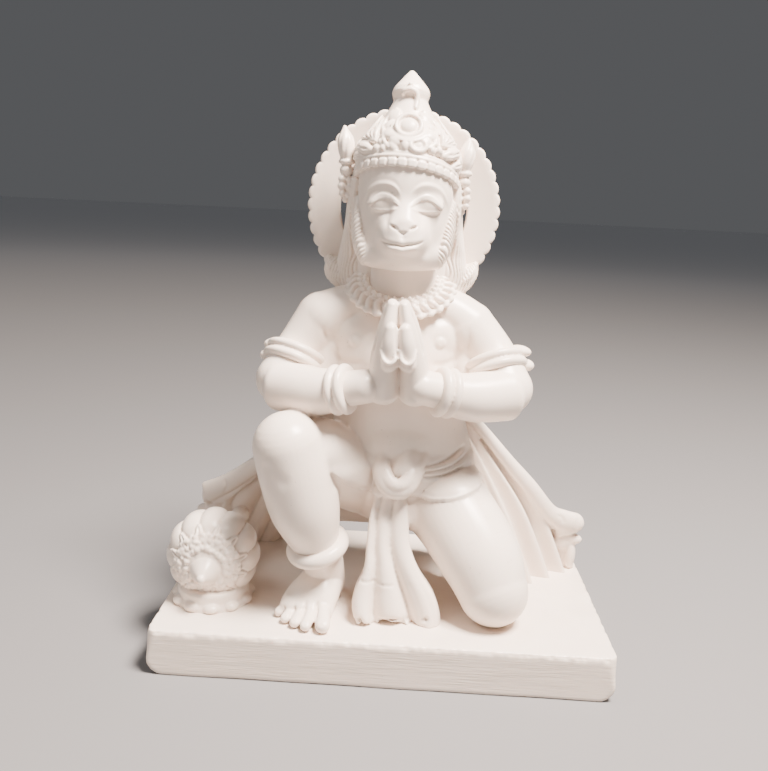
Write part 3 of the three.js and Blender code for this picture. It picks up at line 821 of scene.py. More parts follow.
# Cuts the face as heights seen from the front: brows, lids, eyes, nostrils and mouth.
def carveFace(carve):
    x, y, z = carve.points.T
    blend = smooth(-22 - y, 10) * smooth(31 - np.abs(x), 5)
    carve.relax(round(80 / coarse**2), blend * smooth(z - 268, 4) * smooth(342 - z, 6))
    carve.write()
    front = (carve.normals[:, 1] < -0.15) & (y < -28) & (np.abs(x) < 36) & (z > 266) & (z < 345)
    spots = np.flatnonzero(front)
    x, z = x[spots], z[spots]
    lift = np.zeros(len(spots))
    for s in (-1, 1):
        w = s * x + (0.3 if s < 0 else -1.5)  # out from the nose, the right eye sits further out
        brow = arc(w, [(0, 321), (3, 327.5), (9, 333.4), (16, 335), (23, 333), (29, 327), (33, 318)])
        fold = arc(w, [(1, 319), (4, 322.5), (9.5, 327.2), (15, 328.8), (20.5, 327.4), (25, 323), (28, 318)])
        lashes = [
            (2, 318.6), (5.5, 320.6), (9.5, 323.2), (14.5, 324.5), (19.5, 323.4), (23.5, 320.6), (27, 318.2),
        ]
        upper = arc(w, lashes)
        lower = arc(w, [(2, 320), (8, 318), (14.5, 317), (20.5, 317.2), (26, 319)])
        near = smooth(w - 1.5, 6) * smooth(34 - w, 8)
        lift -= 1.05 * (smooth(brow - z, 4.5) * smooth(z - 303, 14) * near)
        lid = smooth((z - upper) / 0.9 + 0.5) * smooth((fold - z) / 1.8 + 0.5)
        lift += 1.15 * (lid * smooth(w - 2, 5) * smooth(29 - w, 5))
        eye = smooth(z - lower + 0.5) * smooth((upper - z) / 0.9 + 0.5)
        eye = eye * smooth(w - 3, 3) * smooth(27 - w, 4)
        lift += eye * (0.65 * (1 - ((w - 14.5) / 12) ** 2) - 0.35)
        lift += 0.85 * (bell(z - lower + 0.7, 0.9) * smooth(w - 3, 6) * smooth(28 - w, 6))
        lift -= 0.5 * bell(z - lower + 3.2, 1.5) * smooth(w - 6, 4) * smooth(25 - w, 4)
        lift += 0.5 * bell(z - brow - 0.8, 1.4) * near
        lift -= 0.3 * bell(z - brow - 3.4, 1.8) * near
    line = [
        (-18, 296.4), (-14.3, 294.2), (-10.7, 293.1), (-5.7, 292.5), (-0.7, 292.4), (4.7, 292.6),
        (10.1, 293.5), (14.3, 294.9), (18, 297.2),
    ]
    mouth = arc(x, line) - 0.7 * bell(x - 0.3, 2.4)
    for height, rise, width, half, fade in (
        (-1.7, 0, 0.8, 17, 5),
        (0.6, 2.6, 2.2, 17, 5),
        (0.8, -2.7, 1.7, 13.5, 4),
        (-0.6, -5.6, 1.4, 12, 5),
    ):
        lift += height * bell(z - mouth - rise, width) * smooth((half - np.abs(x)) / fade)
    lift -= 0.9 * bell(z - 284.5, 2.2) * smooth(14 - np.abs(x), 8)
    wedge = smooth(z - 294.5, 4) * smooth(304 - z, 4)
    lift -= 1.3 * (wedge * bell(x - 0.6, 1.1 + 0.3 * (z - 294.5).clip(0)))
    for s in (-1, 1):
        w = s * (x - 0.6)
        tip = between(w, [(0, 300.2), (3, 301.6), (5.5, 303.6), (9, 305.6), (12, 308)])
        lift -= 0.6 * bell(z - tip) * smooth(w + 1.5, 2) * smooth(11 - w, 3)
        lift -= 2.4 * bell(np.hypot((w - 6.8) / 2.3, z - 305 - 0.4 * (w - 6.8)))
        lift -= 0.7 * bell(np.hypot((w - 12) / 1.5, (z - 307.5) / 3.5))
        lift -= 0.4 * bell(np.hypot((w - 18.5) / 2.6, (z - 297) / 6))
    carve.points[spots, 1] -= lift


# Combs waving strands into the hair and the whiskers.
def carveHair(carve):
    p, look = carve.points, headLook
    x, y, z = p.T
    side = np.abs(x)
    backShare = smooth(y - 6, 10)
    girth = (side + y) * (1 - backShare) + (102 - side) * backShare
    comb = girth * pi / look["strand"] + np.sin(z / 7 + 0.1 * side) + 0.4 * np.sin(z / 2.9 + 0.3 * side)
    strand = np.abs(np.sin(comb)) ** 0.8 - 0.6
    behind = np.maximum(smooth(side - 34.5, 2), smooth(y + 4, 4))
    behind = behind * smooth(y + 20, 4) * smooth(352 - z, 6)
    p += carve.normals * (look["strandDepth"] * strand * behind)[:, None]
    tuft = smooth(np.abs(x) - 27 + (z - 275) * 0.03, 2) * smooth(y + 46, 3)
    tuft = tuft * smooth(-14 - y, 4) * smooth(325 - z, 8)
    edge = between(z, [(272, 23), (286, 25.5), (296, 28.5), (306, 31.5), (320, 35)])
    tuft = tuft * smooth(np.abs(x) - edge, 1.5)
    comb = (side + y) * 0.62 + z * 0.74 + 0.9 * np.sin(z / 3.1 + side * 0.3) + 0.8 * np.sin(z / 8 + x / 3)
    wave = np.abs(np.sin(comb)) ** 0.8 - 0.55
    p += carve.normals * (look["whiskerDepth"] * wave * tuft)[:, None]


makePiece("head", headLook, (addHead, addHair, addCurls), (carveFace, carveHair))


# The crown: a cap of carved leaves with a plaque and medallion in front and a spade-shaped top.
# It is drawn upright around its own middle and leaned back at the end. Places on it are [angle in
# degrees from its front, height, out].
crownLook = {
    "voxel": 0.7,
    "soften": 1,
    "triangles": 130000,
    "middle": (0.5, -14, 342),
    "lean": -8,
    "teeth": 34,
    "vein": (0.75, -1.2),  # the half width and depth of a cut along a frond
}
crownProfile = [
    (-10, 36), (4, 37.5), (16, 37), (24, 34.3), (31, 28.5), (39, 22.2), (48, 17.2), (56, 13.2), (59, 12),
]
veins = []  # the paths cut along the fronds


def onCrown(degrees, height, out=0.0):
    return onCircle(degrees, float(between(height, crownProfile)) + out, height)


# The ring at the crown's foot drops to the back and a little to the right.
def footRise(degrees):
    a = radians(degrees)
    return -6 * (1 - cos(a)) - 3 * sin(a)


# Directions on the crown at a place: sideways, up the slope and outwards.
def crownFrame(degrees, height):
    a = radians(degrees)
    sideways = Vector((cos(a), sin(a), 0))
    upwards = (Vector(onCrown(degrees, height + 1)) - Vector(onCrown(degrees, height - 1))).normalized()
    return sideways, upwards, sideways.cross(upwards).normalized()


# A soft lobe lying on the crown, turned by so many degrees from upright.
def lobe(bm, degrees, height, half, tall, thick, turn=0, out=0.0):
    sideways, upwards, outwards = crownFrame(degrees, height)
    t = radians(turn)
    long = upwards * cos(t) + sideways * sin(t)
    wide = sideways * cos(t) - upwards * sin(t)
    place = Matrix((wide * half, long * tall, outwards * thick)).transposed().to_4x4()
    place.translation = Vector(onCrown(degrees, height, out))
    bmesh.ops.transform(bm, matrix=place, verts=sphere(bm, 24, 12))


# A frond from root to tip, with a vein to be cut in it later.
def frond(bm, root, tip, half, thick):
    path, rows = [], []
    for t, share in ((0, 0.5), (0.3, 1), (0.6, 1), (0.85, 0.7), (1, 0.3)):
        place = [a + (b - a) * t for a, b in zip(root, tip)]
        rows.append([*onCrown(*place, 0.4 + thick * 0.3 + 1.2 * t), half * share, thick * share])
        path.append(onCrown(*place, 0.4 + thick * 1.3 + 1.2 * t))
    outwards = crownFrame((root[0] + tip[0]) / 2, (root[1] + tip[1]) / 2)[2]
    way = (Vector(rows[-1][:3]) - Vector(rows[0][:3])).normalized()
    limb(bm, rows, around=20, along=24, caps=4, side=way.cross(outwards))
    veins.append(path[:4])


def addCrown(bm):
    rise = np.linspace(-10, 57, 30)
    turned(bm, [(0, -10), *[(float(between(z, crownProfile)) - 0.2, z) for z in rise], (0, 57)], 72)
    spade = [
        (0, 54), (12.8, 55.6), (13.2, 57), (14.0, 59.6), (14.5, 62.6), (13.2, 66), (10.4, 69.4), (7.6, 72.6),
        (4.7, 76), (1.8, 79), (0, 79.8),
    ]
    turned(bm, spade, 48)
    for k in range(12):  # plain leaves around the sides and the back, in two tiers
        degrees = 75 + 210 * (k + 0.5) / 12
        foot = 11 + footRise(degrees)
        frond(bm, (degrees, foot), (degrees, foot + 17), 7, 3)
        for side in (-1, 1):
            frond(bm, (degrees + 3 * side, foot), (degrees + 8.5 * side, foot + 11), 2.8, 2.4)
    for k in range(9):
        degrees = 75 + 210 * (k + 0.5) / 9
        frond(bm, (degrees, 20), (degrees, 45), 8, 2.2)
        for side in (-1, 1):
            frond(bm, (degrees + 4 * side, 22), (degrees + 12 * side, 36), 3, 2.2)


def addCrownFront(bm):
    # the plaque's middle and its puffed border
    for spot in (
        (1, 29, 14.5, 14.5, 1.4),
        (-33, 41, 6, 6.6, 2.8, -20),
        (-31, 32.5, 4.4, 5.4, 2.6),
        (-24, 25, 6, 5.2, 2.8, 25),
        (-15, 19, 5, 4.6, 3, 30),
        (-17, 14.5, 4.6, 3.4, 2.8, 60),
        (-3, 15.5, 3.4, 4.8, 3.2),
        (34, 39.5, 6, 6.6, 2.8, 20),
        (32, 32, 5.4, 4.8, 2.8, 40),
        (27, 24.5, 6, 5, 2.8, -25),
        (21, 19, 4.6, 4.4, 2.8, -30),
    ):
        lobe(bm, *spot)
    for edge in (
        [(-30, 46), (-43, 40), (-43, 33), (-34, 27), (-29, 20), (-21, 14)],
        [(30, 45), (45, 39), (47, 32), (38, 27), (33, 20), (25, 15)],
    ):
        string(bm, [onCrown(*spot, 1.2) for spot in edge], 1.5, around=14)
    turns = np.linspace(2.4, 2.4 + 5.2, 11)
    swirl = [onCrown(11.5 + 8.5 * cos(t), 16 + 4.4 * sin(t), 1.6) for t in turns]
    string(bm, swirl, [1.2, 1.6, 1.9, 2.0, 2.0, 2.0, 1.9, 1.8, 1.6, 1.3, 0.9])
    lobe(bm, 11.5, 16, 5, 4, 1.6)
    # the medallion
    outwards = (crownFrame(0, 31)[2] + Vector((0, -0.7, 0))).normalized()
    middle = Vector(onCrown(0, 30.8, 3.0))
    torus(bm, middle + outwards * 0.6, outwards, 9.2, 1.6, 56)
    ball(bm, middle - outwards * 0.8, (9.4, 9.4, 1.4), outwards, 40)
    ball(bm, middle, (6.2, 6.2, 3.0), outwards, 40)
    # fans of fronds beside the plaque, large leaves below them
    for tip in ((-52, 39), (-54, 34.5), (-59, 30.5), (-67, 28), (-77, 26)):
        frond(bm, (-41 - 0.12 * (-52 - tip[0]), 20), tip, 2.3, 2.4)
    for tip in ((55, 39), (57, 33.5), (62, 29), (70, 26), (78, 24)):
        frond(bm, (42, 18.5), tip, 2.3, 2.4)
    for side in (-1, 1):
        drop = footRise(side * 58)
        frond(bm, (side * 42, 13 + drop * 0.4), (side * 78, 21 + drop * 0.5), 4.2, 3.2)
        frond(bm, (side * 46, 12 + drop * 0.4), (side * 66, 19 + drop * 0.5), 2.4, 3.6)
        frond(bm, (side * 58, 9 + drop * 0.8), (side * 86, 15 + drop * 0.8), 3.2, 2.8)
        lobe(bm, side * 37, 14, 3.2, 3.6, 3.4, -side * 20)
        lobe(bm, side * 28, 13.5, 2.9, 3.4, 3.2)
        lobe(bm, side * 33, 18.5, 2.6, 3.0, 2.8)
        lobe(bm, side * 72, 9.5 + drop, 3.4, 3, 2.8, side * 50)
    # the small boss and the hooked arch on the top
    lobe(bm, -3, 65.5, 1.7, 1.7, 1.6, out=2.6)
    arch = [
        [-6, -13.4, 58.4], [-4.4, -14.4, 60.8], [-0.6, -14.9, 61.6], [3.2, -14.4, 60.4], [4.8, -13.8, 57],
        [4.8, -14.4, 52.5], [4.2, -17.5, 47.5],
    ]
    string(bm, arch, [1.4, 1.9, 2.1, 2.1, 2.0, 1.8, 1.4], around=14)


def makeTooth(small):
    bmesh.ops.create_cube(small, size=1)
    roundEdges(small, small.edges[:], 0.22, 3)


def addCrownFoot(bm):
    count = crownLook["teeth"]
    for k in range(count):
        degrees = 360 * (k + 0.5) / count
        height = 2.9 + footRise(degrees)
        ends = [Vector(onCrown(d, height + footRise(d))) for d in (degrees + 3, degrees - 3)]
        sideways = (ends[0] - ends[1]).normalized()
        outwards = Vector(onCrown(degrees, 0)).normalized()
        upwards = outwards.cross(sideways).normalized()
        place = Matrix((sideways * 6.5, -outwards * 6, upwards * 6)).transposed().to_4x4()
        place.translation = onCircle(degrees, 38, height)
        bmesh.ops.transform(bm, matrix=place, verts=added(bm, makeTooth, "tooth"))
    for rise, r, size in ((7.7, 38.6, 1.6), (10.3, 37.9, 1.3)):
        path = [onCircle(degrees, r, rise + footRise(degrees)) for degrees in np.linspace(0, 360, 73)]
        string(bm, path, size, along=216, caps=2, side=(0, 0, 1))


def carveCrown(carve):
    for path in veins:
        carve.stroke(path, *crownLook["vein"])


crownPlace = Matrix.Translation(crownLook["middle"]) @ Matrix.Rotation(radians(crownLook["lean"]), 4, "X")
makePiece("crown", crownLook, (addCrown, addCrownFront, addCrownFoot), (carveCrown,), place=crownPlace)


# The halo.
haloLook = {
    "radius": 77.8,
    "hole": 51,
    "thickness": 8,
    "scallops": 48,
    "scallop": 2.0,
    "edge": 2.0,
    "dish": 1.6,
    "middle": (-1, 17, 318.5),
    "triangles": 40000,
}


def makeHalo():
    look = haloLook
    bm = bmesh.new()
    half, rim, hole = look["thickness"] / 2, look["radius"] - look["edge"], look["hole"]
    outline = []
    for a in np.linspace(-pi / 2, pi / 2, 9):
        outline.append((rim + look["edge"] * cos(a), (half - 0.4) * sin(a)))
    for r in np.linspace(rim - 2, hole + 2, 9):
        outline.append((r, half))
    for a in np.linspace(pi / 2, 3 * pi / 2, 7):
        outline.append((hole + 1.2 + 1.2 * cos(a), half * sin(a)))
    for r in np.linspace(hole + 2, rim - 2, 9):
        outline.append((r, -half))
    made = turned(bm, [*outline, outline[0]], look["scallops"] * 12)
    co = np.array([v.co for v in made])
    angle = np.arctan2(co[:, 1], co[:, 0])
    reach = np.hypot(co[:, 0], co[:, 1])
    hump = np.abs(np.cos(look["scallops"] / 2 * angle)) ** 0.7
    share = smooth(reach - look["radius"] + 9, 9)
    scale = 1 - look["scallop"] * share * (1 - hump) / reach
    dish = look["dish"] * ((reach - hole) / (look["radius"] - hole)) ** 2
    moveTo(made, np.stack([co[:, 0] * scale, co[:, 1] * scale, co[:, 2] + dish], axis=1))
    bmesh.ops.rotate(bm, verts=bm.verts, cent=(0, 0, 0), matrix=Matrix.Rotation(pi / 2, 3, "X"))
    bmesh.ops.translate(bm, verts=bm.verts, vec=look["middle"])
    bmesh.ops.recalc_face_normals(bm, faces=bm.faces)
    return objectOf(bm, "halo")


finishPiece(makeHalo(), marble, haloLook["triangles"])


# Collar, armlets, bracelets and anklet.
jewelLook = {"voxel": 0.8, "soften": 1, "triangles": 130000, "collarLeaves": 30, "collar": (33, 29.5)}


def addCollar(bm):
    middle = np.array([0.5, -14, 261])
    axis, first, second = axesOf((0, -0.66, 1.0))
    count = jewelLook["collarLeaves"]
    wide, deep = jewelLook["collar"]
    slope = [(-8, -6), (2, -8), (7, -8), (8.5, -5), (3, 0), (-5, 4), (-8, 3)]
    hoop(bm, middle, axis, (wide, deep), slope, steps=96, relief=lambda a: 0.95 + 0.05 * np.cos(count * a))

    def spot(angle, out, rise):
        flat = middle + first * cos(angle) * (wide + out) + second * sin(angle) * (deep + out)
        return flat + axis * rise

    for k in range(count):
        a = 2 * pi * k / count
        leaf = [spot(a - 0.02, 0.5, 2.2), spot(a + 0.03, 4, 0.6), spot(a + 0.09, 7.5, -2.4)]
        string(bm, leaf, [1.2, 2.4, 2.0], along=20)
        ball(bm, spot(a + 0.09, 8, -3.4), (3.6, 3.6, 2.4), axis, segments=20)
        ball(bm, spot(a - 0.03, 7.4, -4.2), (2.4, 2.4, 2), axis, segments=12)
        ball(bm, spot(a + 0.05, -0.8, 2.6), (2.3, 2.3, 1.9), segments=12)
        ball(bm, spot(a - 0.05, -4.6, 4.2), (1.9, 1.9, 1.9), segments=12)


def addArmRings(bm):
    for hand in (-1, 1):
        rise = armShift[hand]
        armlets, bracelets = np.array(armRows(hand, [[-80.5, -22.5, 198], [-40, -58.5, 182.5]]))
        axis = unit(np.array([hand * 0.3, -0.45, -0.85]))
        for shift in (-3.6, 3.6):
            hoop(bm, armlets + axis * shift, axis, (20.5, 20.5), roundBand(5, 3.9, 4), steps=64)
        ball(bm, (hand * 97, -23, 209.5 + rise * 2), (9, 6, 4.4), (hand * 0.15, 0, 1))
        ball(bm, (hand * 101.5, -23, 200 + rise * 1.2), (7.5, 7, 5), (hand * 0.1, 0, 1))
        axis = unit(np.array([-hand * 0.92, -0.33, 0.2]))
        for shift in (-3.8, 3.8):
            hoop(bm, bracelets + axis * shift, axis, (15, 15), roundBand(4.6, 3.8, 4), steps=64)


def addEarOrnaments(bm):
    def ribs(share, angle):
        return 0.93 + 0.14 * np.abs(np.cos(4 * angle + 4 * share))

    y = -10
    for s, x, lift in ((-1, -46.3, 2), (1, 44.5, -3)):
        bud = [
            [x, y, 351 + lift, 4.2, 5], [x + s * 0.5, y, 358 + lift, 6.2, 7],
            [x + s * 1.5, -9, 366 + lift, 6, 6.6], [x + s * 2.5, -8, 375 + lift, 1.6, 2],
        ]
        limb(bm, bud, around=70, along=40, bulge=ribs)
        limb(bm, [[x, y + 1, 345 + lift, 3.2, 3.6], [x, y + 1, 324 + lift, 3, 3.4]], around=20)
        torus(bm, (x, y, 349.5 + lift), (0, 0, 1), 4.6, 1.9, 28)
        ball(bm, (x, y, 343 + lift), (5.4, 6, 4.8))
        for z, r, spread in ((336.5, 2.9, 3.2), (331, 3.2, 3.2), (325.5, 2.7, 2.6)):
            for side in (-1, 1):
                for depth in (-3, 3):
                    bead = (x + side * spread, y + depth, z + lift - (side * s < 0) * 0.8)
                    ball(bm, bead, (r, r, r), segments=16)
        ball(bm, (x, y, 321 + lift), (2.6, 2.6, 2.6), segments=16)


def addAnklet(bm):
    hoop(bm, (-54.5, -57, 54.5), (-0.25, -0.25, 1), (19.5, 20.5), roundBand(5.8, 6.2, 4))


makePiece("jewellery", jewelLook, (addCollar, addArmRings, addAnklet, addEarOrnaments))


# The shawl.
shawlLook = {"voxel": 1.3, "soften": 2, "triangles": 115000}


def addShawl(bm):
    rightInner = [[50, 8, 150], [72, 9, 108], [96, 11, 58], [122, 12, -3]]
    rightOuter = [[52, 18, 166], [98, 30, 112], [143, 44, 60], [173, 51, -3]]
    leftInner = [[-40, 30, 150], [-72, 50, 70], [-102, 76, -3]]
    leftOuter = [[-54, 18, 164], [-98, 26, 112], [-144, 40, 62], [-170, 50, -3]]
    backLeft = [[-48, 28, 130], [-58, 42, 100], [-66, 52, 66], [-69, 60, 33]]
    backRight = [[56, 26, 130], [68, 39, 100], [77, 49, 66], [81, 57, 33]]

    def leftFolds(u, v):
        phase = u * 3.5 * pi + 0.4 + 0.3 * np.sin(3 * v + 5 * u)
        return 7 * (0.25 + 0.75 * v) * (np.abs(np.cos(phase)) ** 0.75 - 0.45)

    def rightFolds(u, v):
        spots = [(0, 0.5), (0.1, 1), (0.23, 2), (0.44, 3), (0.57, 4), (0.76, 5), (0.88, 6), (1, 6.8)]
        return -(1.7 + 4.6 * v) * np.cos(pi * between(u - 0.08 * (1 - v), spots))

    def waves(count, depth):
        return lambda u, v: depth * (0.2 + 0.8 * v) * np.sin(count * pi * u + 0.6 * np.sin(3 * v))

    def backFolds(u, v):
        return waves(9, 3.4)(u, v) + 11 * np.sin(pi * u).clip(0) ** 1.5 * (1 - 0.85 * v)

    def bandFolds(share, angle):
        return 1 + 0.09 * np.cos(5 * angle + 4 * share)

    cloth(bm, rightInner, rightOuter, 10.5, rightFolds, waves(6, 1.5), 200, 120)
    cloth(bm, leftOuter, leftInner, 8, leftFolds, waves(6, 2.5), 200, 120)
    cloth(bm, backRight, backLeft, 8, backFolds, None, 200, 90)
    band = [
        [56, 12, 160], [48, 26, 155], [26, 36, 150], [0, 39, 148], [-26, 36, 151], [-46, 26, 156],
        [-58, 12, 162],
    ]
    limb(bm, [[*spot, 8, 5] for spot in band], around=60, along=120, side=(0, 0, 1), bulge=bandFolds)
    # upper edges folded back, ending in soft lobes
    rightFlap = [
        [56, 10, 157, 4, 4], [70, 13, 144, 4.5, 4], [83, 17, 129.5, 5, 5], [102, 23, 107, 6, 5.5],
        [122, 29, 84, 7.5, 6], [142, 37, 58, 9, 6.5], [155, 42, 49, 11, 7], [166, 45, 46, 10.5, 7],
    ]
    leftFlap = [
        [-70, 13, 146, 4, 4], [-88, 17, 123, 6, 5], [-108, 23, 101, 7.5, 5.5], [-128, 31, 82, 9, 6],
        [-148, 39, 65, 11, 6.5], [-166, 46, 54, 12.5, 6.5],
    ]
    limb(bm, rightFlap, side=(0.7, 0, 0.66), capLength=0.5, around=48, along=80)
    limb(bm, leftFlap, side=(-0.6, 0, 0.75), capLength=0.35, around=48, along=80)
    for middle, radii in (
        ((168, 46, 45.5), (10.5, 7, 10)),
        ((162, 46, 38), (11, 6, 8)),
        ((171, 48, 29), (7.5, 4.5, 5)),
        ((161, 48, 27), (10, 5, 9)),
        ((169, 49, 14), (5, 6, 15)),
        ((-169, 47, 53), (4.5, 6, 11)),
        ((-171.5, 51, 37), (8, 5, 4.8)),
        ((-158, 47, 38), (13, 6, 10)),
        ((-168, 51, 20), (5, 6, 14)),
    ):
        ball(bm, middle, radii, segments=32)


def carveShawl(carve):
    creases = (
        ([[107, 24, 93], [143, 38, 49], [154, 42, 38]], 1.8, -0.9),
        ([[150, 40, 57], [156, 42, 54], [158, 44, 48]], 1.2, -0.7),
        ([[177, 47, 37], [168, 45, 34], [156, 42, 32]], 1.5, -2.4),
        ([[-108, 18, 89], [-135, 28, 66], [-170, 42, 42]], 2.0, -2.6),
        ([[-150, 33, 74], [-148, 34, 66], [-151, 34, 58]], 1.2, -0.9),
    )
    carve.strokes(creases, front=True)


makePiece("shawl", shawlLook, (addShawl,), (carveShawl,))


# The mace.
maceLook = {
    "voxel": 0.75,
    "soften": 1,
    "triangles": 85000,
    "radius": 36,
    "lobes": 12,
    "depth": 0.05,
    "middle": (-141, -44, 36),
    "seed": 9,
}


# A spot on the mace's front, by its angle and its distance from the axis as a share of the radius.
def maceSpot(angle, share, out=0.0):
    r = maceLook["radius"]
    front = float(between(share, [(0, 0.8), (0.42, 0.7), (0.6, 0.6), (0.86, 0.4), (1, 0)]))
    away = Vector((sin(angle), 0, cos(angle)))
    normal = (away * share + Vector((0, -front * 1.2, 0))).normalized()
    return Vector(maceLook["middle"]) + away * share * r + Vector((0, -front * r, 0)) + normal * out


def addMace(bm):
    r, lobes, depth = (maceLook[k] for k in ("radius", "lobes", "depth"))
    x, y, z = maceLook["middle"]

    def gadroons(share, angle):
        return 1 - depth + 2 * depth * np.abs(np.cos(lobes * angle / 2)) ** 0.5

    shares = ((-0.62, 0.5), (-0.4, 0.86), (0, 1), (0.45, 0.9), (0.78, 0.5))
    profile = [[x, y + ahead * r, z, share * r, share * r] for ahead, share in shares]
    limb(bm, profile, around=240, along=80, side=(0, 0, 1), bulge=gadroons, capLength=0.4)
    tips = ((0.55, 2, 14), (0.78, 2.5, 12), (0.96, 3, 8), (1.1, 3.5, 3.4))
    cone = [[x, y - ahead * r, z - drop, half, half] for ahead, drop, half in tips]
    limb(bm, cone, side=(0, 0, 1), around=48, along=40)
    rng = np.random.default_rng(maceLook["seed"])
    for k in range(lobes):
        a = 2 * pi * (k + 0.5) / lobes
        b = 2 * pi * k / lobes
        for angle, petal in (
            (a, ((0.5, 2, 2), (0.68, 4.2, 2.6), (0.86, 1.2, 1.6))),
            (b, ((0.48, 2.4, 2.4), (0.6, 4.0, 2.6), (0.72, 1.0, 1.4))),
        ):
            rows = [[*maceSpot(angle, share), *halves] for share, *halves in petal]
            limb(bm, rows, around=16, along=16, caps=4, side=(cos(angle), 0, -sin(angle)))
        for turn in (-0.16, 0, 0.15):
            for share in (0.42, 0.55, 0.67):
                size = rng.uniform(1.7, 2.9)
                spot = maceSpot(a + turn + rng.uniform(-0.05, 0.05), share + rng.uniform(-0.03, 0.03), 1.0)
                ball(bm, spot, (size, size, size), segments=12)
    limb(bm, [[x, y + 0.6 * r, z, 8, 8], [x + 4, 44, z, 8, 8]], side=(0, 0, 1))
    # the petalled pad under it
    pad = [(0, -6), (30, -6), (31, -2), (30.5, 3), (28.5, 6), (28.5, 12), (27, 14), (0, 14)]
    turned(bm, pad, 72, Matrix.Translation((x + 1, y - 2, 0)))
    for k in range(11):
        a = 2 * pi * (k + 0.3) / 11
        ball(bm, (x + 1 + 26.5 * sin(a), y - 2 - 26.5 * cos(a), 3), (7.4, 7.4, 4.6), segments=20)


def carveMace(carve):
    lobes = maceLook["lobes"]
    for k in range(lobes):
        a = 2 * pi * (k + 0.5) / lobes
        carve.stroke([maceSpot(a, 0.52, 2), maceSpot(a, 0.7, 2.6), maceSpot(a, 0.84, 1.6)], 0.8, -1.2)
        for turn in (-1, 1):
            path = [(a + turn * 0.2, 0.62, 0.6), (a + turn * 0.1, 0.8, 0.2), (a, 0.93, 0)]
            carve.stroke([maceSpot(*spot) for spot in path], 0.8, -1.1)


makePiece("mace", maceLook, (addMace,), (carveMace,))


# The plinth.
plinthLook = {
    "size": (355, 215, 36),
    "corner": 9,
    "lower": 13,
    "voxel": 1.4,
    "soften": 2,
    "triangles": 75000,
    "chips": 150,
    "sideChips": 0.3,
    "unevenness": 0.25,
    "seed": 4,
}


def addPlinth(bm):
    width, depth, height = plinthLook["size"]
    place = Matrix.Translation((0, 0, -height / 2)) @ Matrix.Diagonal((width, depth, height, 1))
    bmesh.ops.create_cube(bm, size=1, matrix=place)

    def rounded(wanted, size):
        edges = [e for e in bm.edges if wanted(*(v.co for v in e.verts))]
        roundEdges(bm, edges, size, 8)

    rounded(lambda a, b: abs(a.z - b.z) < 1 and abs(a.x - b.x) < 1 and a.z < -30, plinthLook["lower"])
    rounded(lambda a, b: abs(a.z - b.z) > 1 and (a - b).xy.length < 0.01, plinthLook["corner"])


def carvePlinth(carve):
    width, depth, height = plinthLook["size"]
    rng = np.random.default_rng(plinthLook["seed"])
    for _ in range(plinthLook["chips"]):  # more of them along the top edge in front
        spot = (rng.uniform(-172, 172), -depth / 2, rng.uniform(-1, 0.5))
        if rng.random() < plinthLook["sideChips"]:
            spot = (rng.choice([-1, 1]) * width / 2, rng.uniform(-104, 104), 0)
        carve.dab(spot, rng.uniform(1.2, 2.4), -rng.uniform(0.4, 1.1))
    # a slow unevenness, as left by hand dressing
    p = carve.points
    wave = np.sin(p[:, 0] / 17 + 1.3 * np.sin(p[:, 1] / 29)) * np.sin(p[:, 1] / 23 + p[:, 0] / 41)
    p += carve.normals * (plinthLook["unevenness"] * wave)[:, None]
    p[:, 2] = np.maximum(p[:, 2], -height)


makePiece("plinth", plinthLook, (addPlinth,), (carvePlinth,), sawnMarble)


# Floor, light and camera, in metres.
studioLook = {
    "floor": 60,
    "near": (0.2, 0.2, 0.205, 1),
    "far": (0.9, 0.9, 0.91, 1),
    "fade": (0.4, 5),
    "sky": (0.93, 0.95, 1, 1),
    "skyPower": 0.105,
    "aim": (0, 0, 0.22),
    "lights": (
        ("key", (0.5, -0.35, 1.45), 160, 0.45, (1, 0.86, 0.765)),
        ("front", (-0.8, -1.2, 0.8), 4, 0.7, (1, 0.86, 0.765)),
        ("left", (-0.8, -0.2, 1.3), 5.5, 0.6, (1, 0.94, 0.9)),
    ),
}


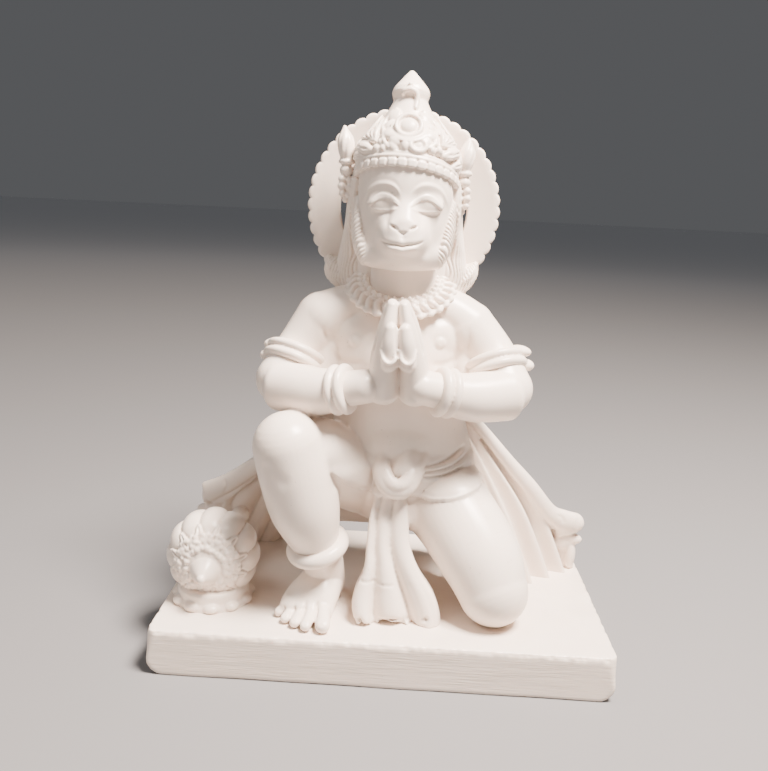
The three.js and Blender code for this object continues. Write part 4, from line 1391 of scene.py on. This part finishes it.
def makeStudio():
    look = studioLook
    bm = bmesh.new()
    bmesh.ops.create_circle(bm, cap_ends=True, segments=96, radius=look["floor"])
    floor = objectOf(bm, "floor")
    paper = bpy.data.materials.new("pale floor")
    paper.use_nodes = True
    inputs = paper.node_tree.nodes["Principled BSDF"].inputs
    start = Shade(paper.node_tree)
    place = start.node("TexCoord", output="Object")
    reach = start.node("VectorMath", {"operation": "LENGTH"}, {0: place}, output="Value")
    start.feed(inputs["Base Color"], mixed(reach.ramp(*look["fade"]), look["near"], look["far"]))
    start.feed(inputs["Roughness"], 0.95)
    start.feed(inputs["Specular IOR Level"], 0.1)
    floor.data.materials.append(paper)
    world = bpy.data.worlds.new("studio")
    scene.world = world
    world.use_nodes = True
    background = world.node_tree.nodes["Background"].inputs
    background[0].default_value, background[1].default_value = look["sky"], look["skyPower"]
    for name, spot, power, size, colour in look["lights"]:
        lamp = bpy.data.lights.new(name, "AREA")
        lamp.energy, lamp.size, lamp.color = power, size, colour
        obj = bpy.data.objects.new(name, lamp)
        obj.location = spot
        obj.rotation_euler = (Vector(look["aim"]) - Vector(spot)).to_track_quat("-Z", "Y").to_euler()
        scene.collection.objects.link(obj)


# The focal length and the long side are in the photo's pixels.
cameraLook = {
    "spot": (0.0064, -0.648, 0.353),
    "yaw": -1.4,
    "pitch": 12.4,
    "roll": 2.8,
    "focal": 800,
    "longSide": 771,
    "sensor": 36,
}


def makeCamera():
    look = cameraLook
    yaw, pitch, roll = (radians(look[k]) for k in ("yaw", "pitch", "roll"))
    ahead = Vector((sin(yaw) * cos(pitch), cos(yaw) * cos(pitch), -sin(pitch)))
    level = Vector((cos(yaw), -sin(yaw), 0))
    rise = level.cross(ahead)
    right = level * cos(roll) + rise * sin(roll)
    up = rise * cos(roll) - level * sin(roll)
    camera = bpy.data.cameras.new("camera")
    camera.lens, camera.sensor_width = look["focal"] / look["longSide"] * look["sensor"], look["sensor"]
    obj = bpy.data.objects.new("camera", camera)
    place = Matrix((right, up, -ahead)).transposed().to_4x4()
    place.translation = look["spot"]
    obj.matrix_world = place
    scene.collection.objects.link(obj)
    scene.camera = obj


makeStudio()
makeCamera()
print("studio set")

for mesh in shapes.values():
    bpy.data.meshes.remove(mesh)
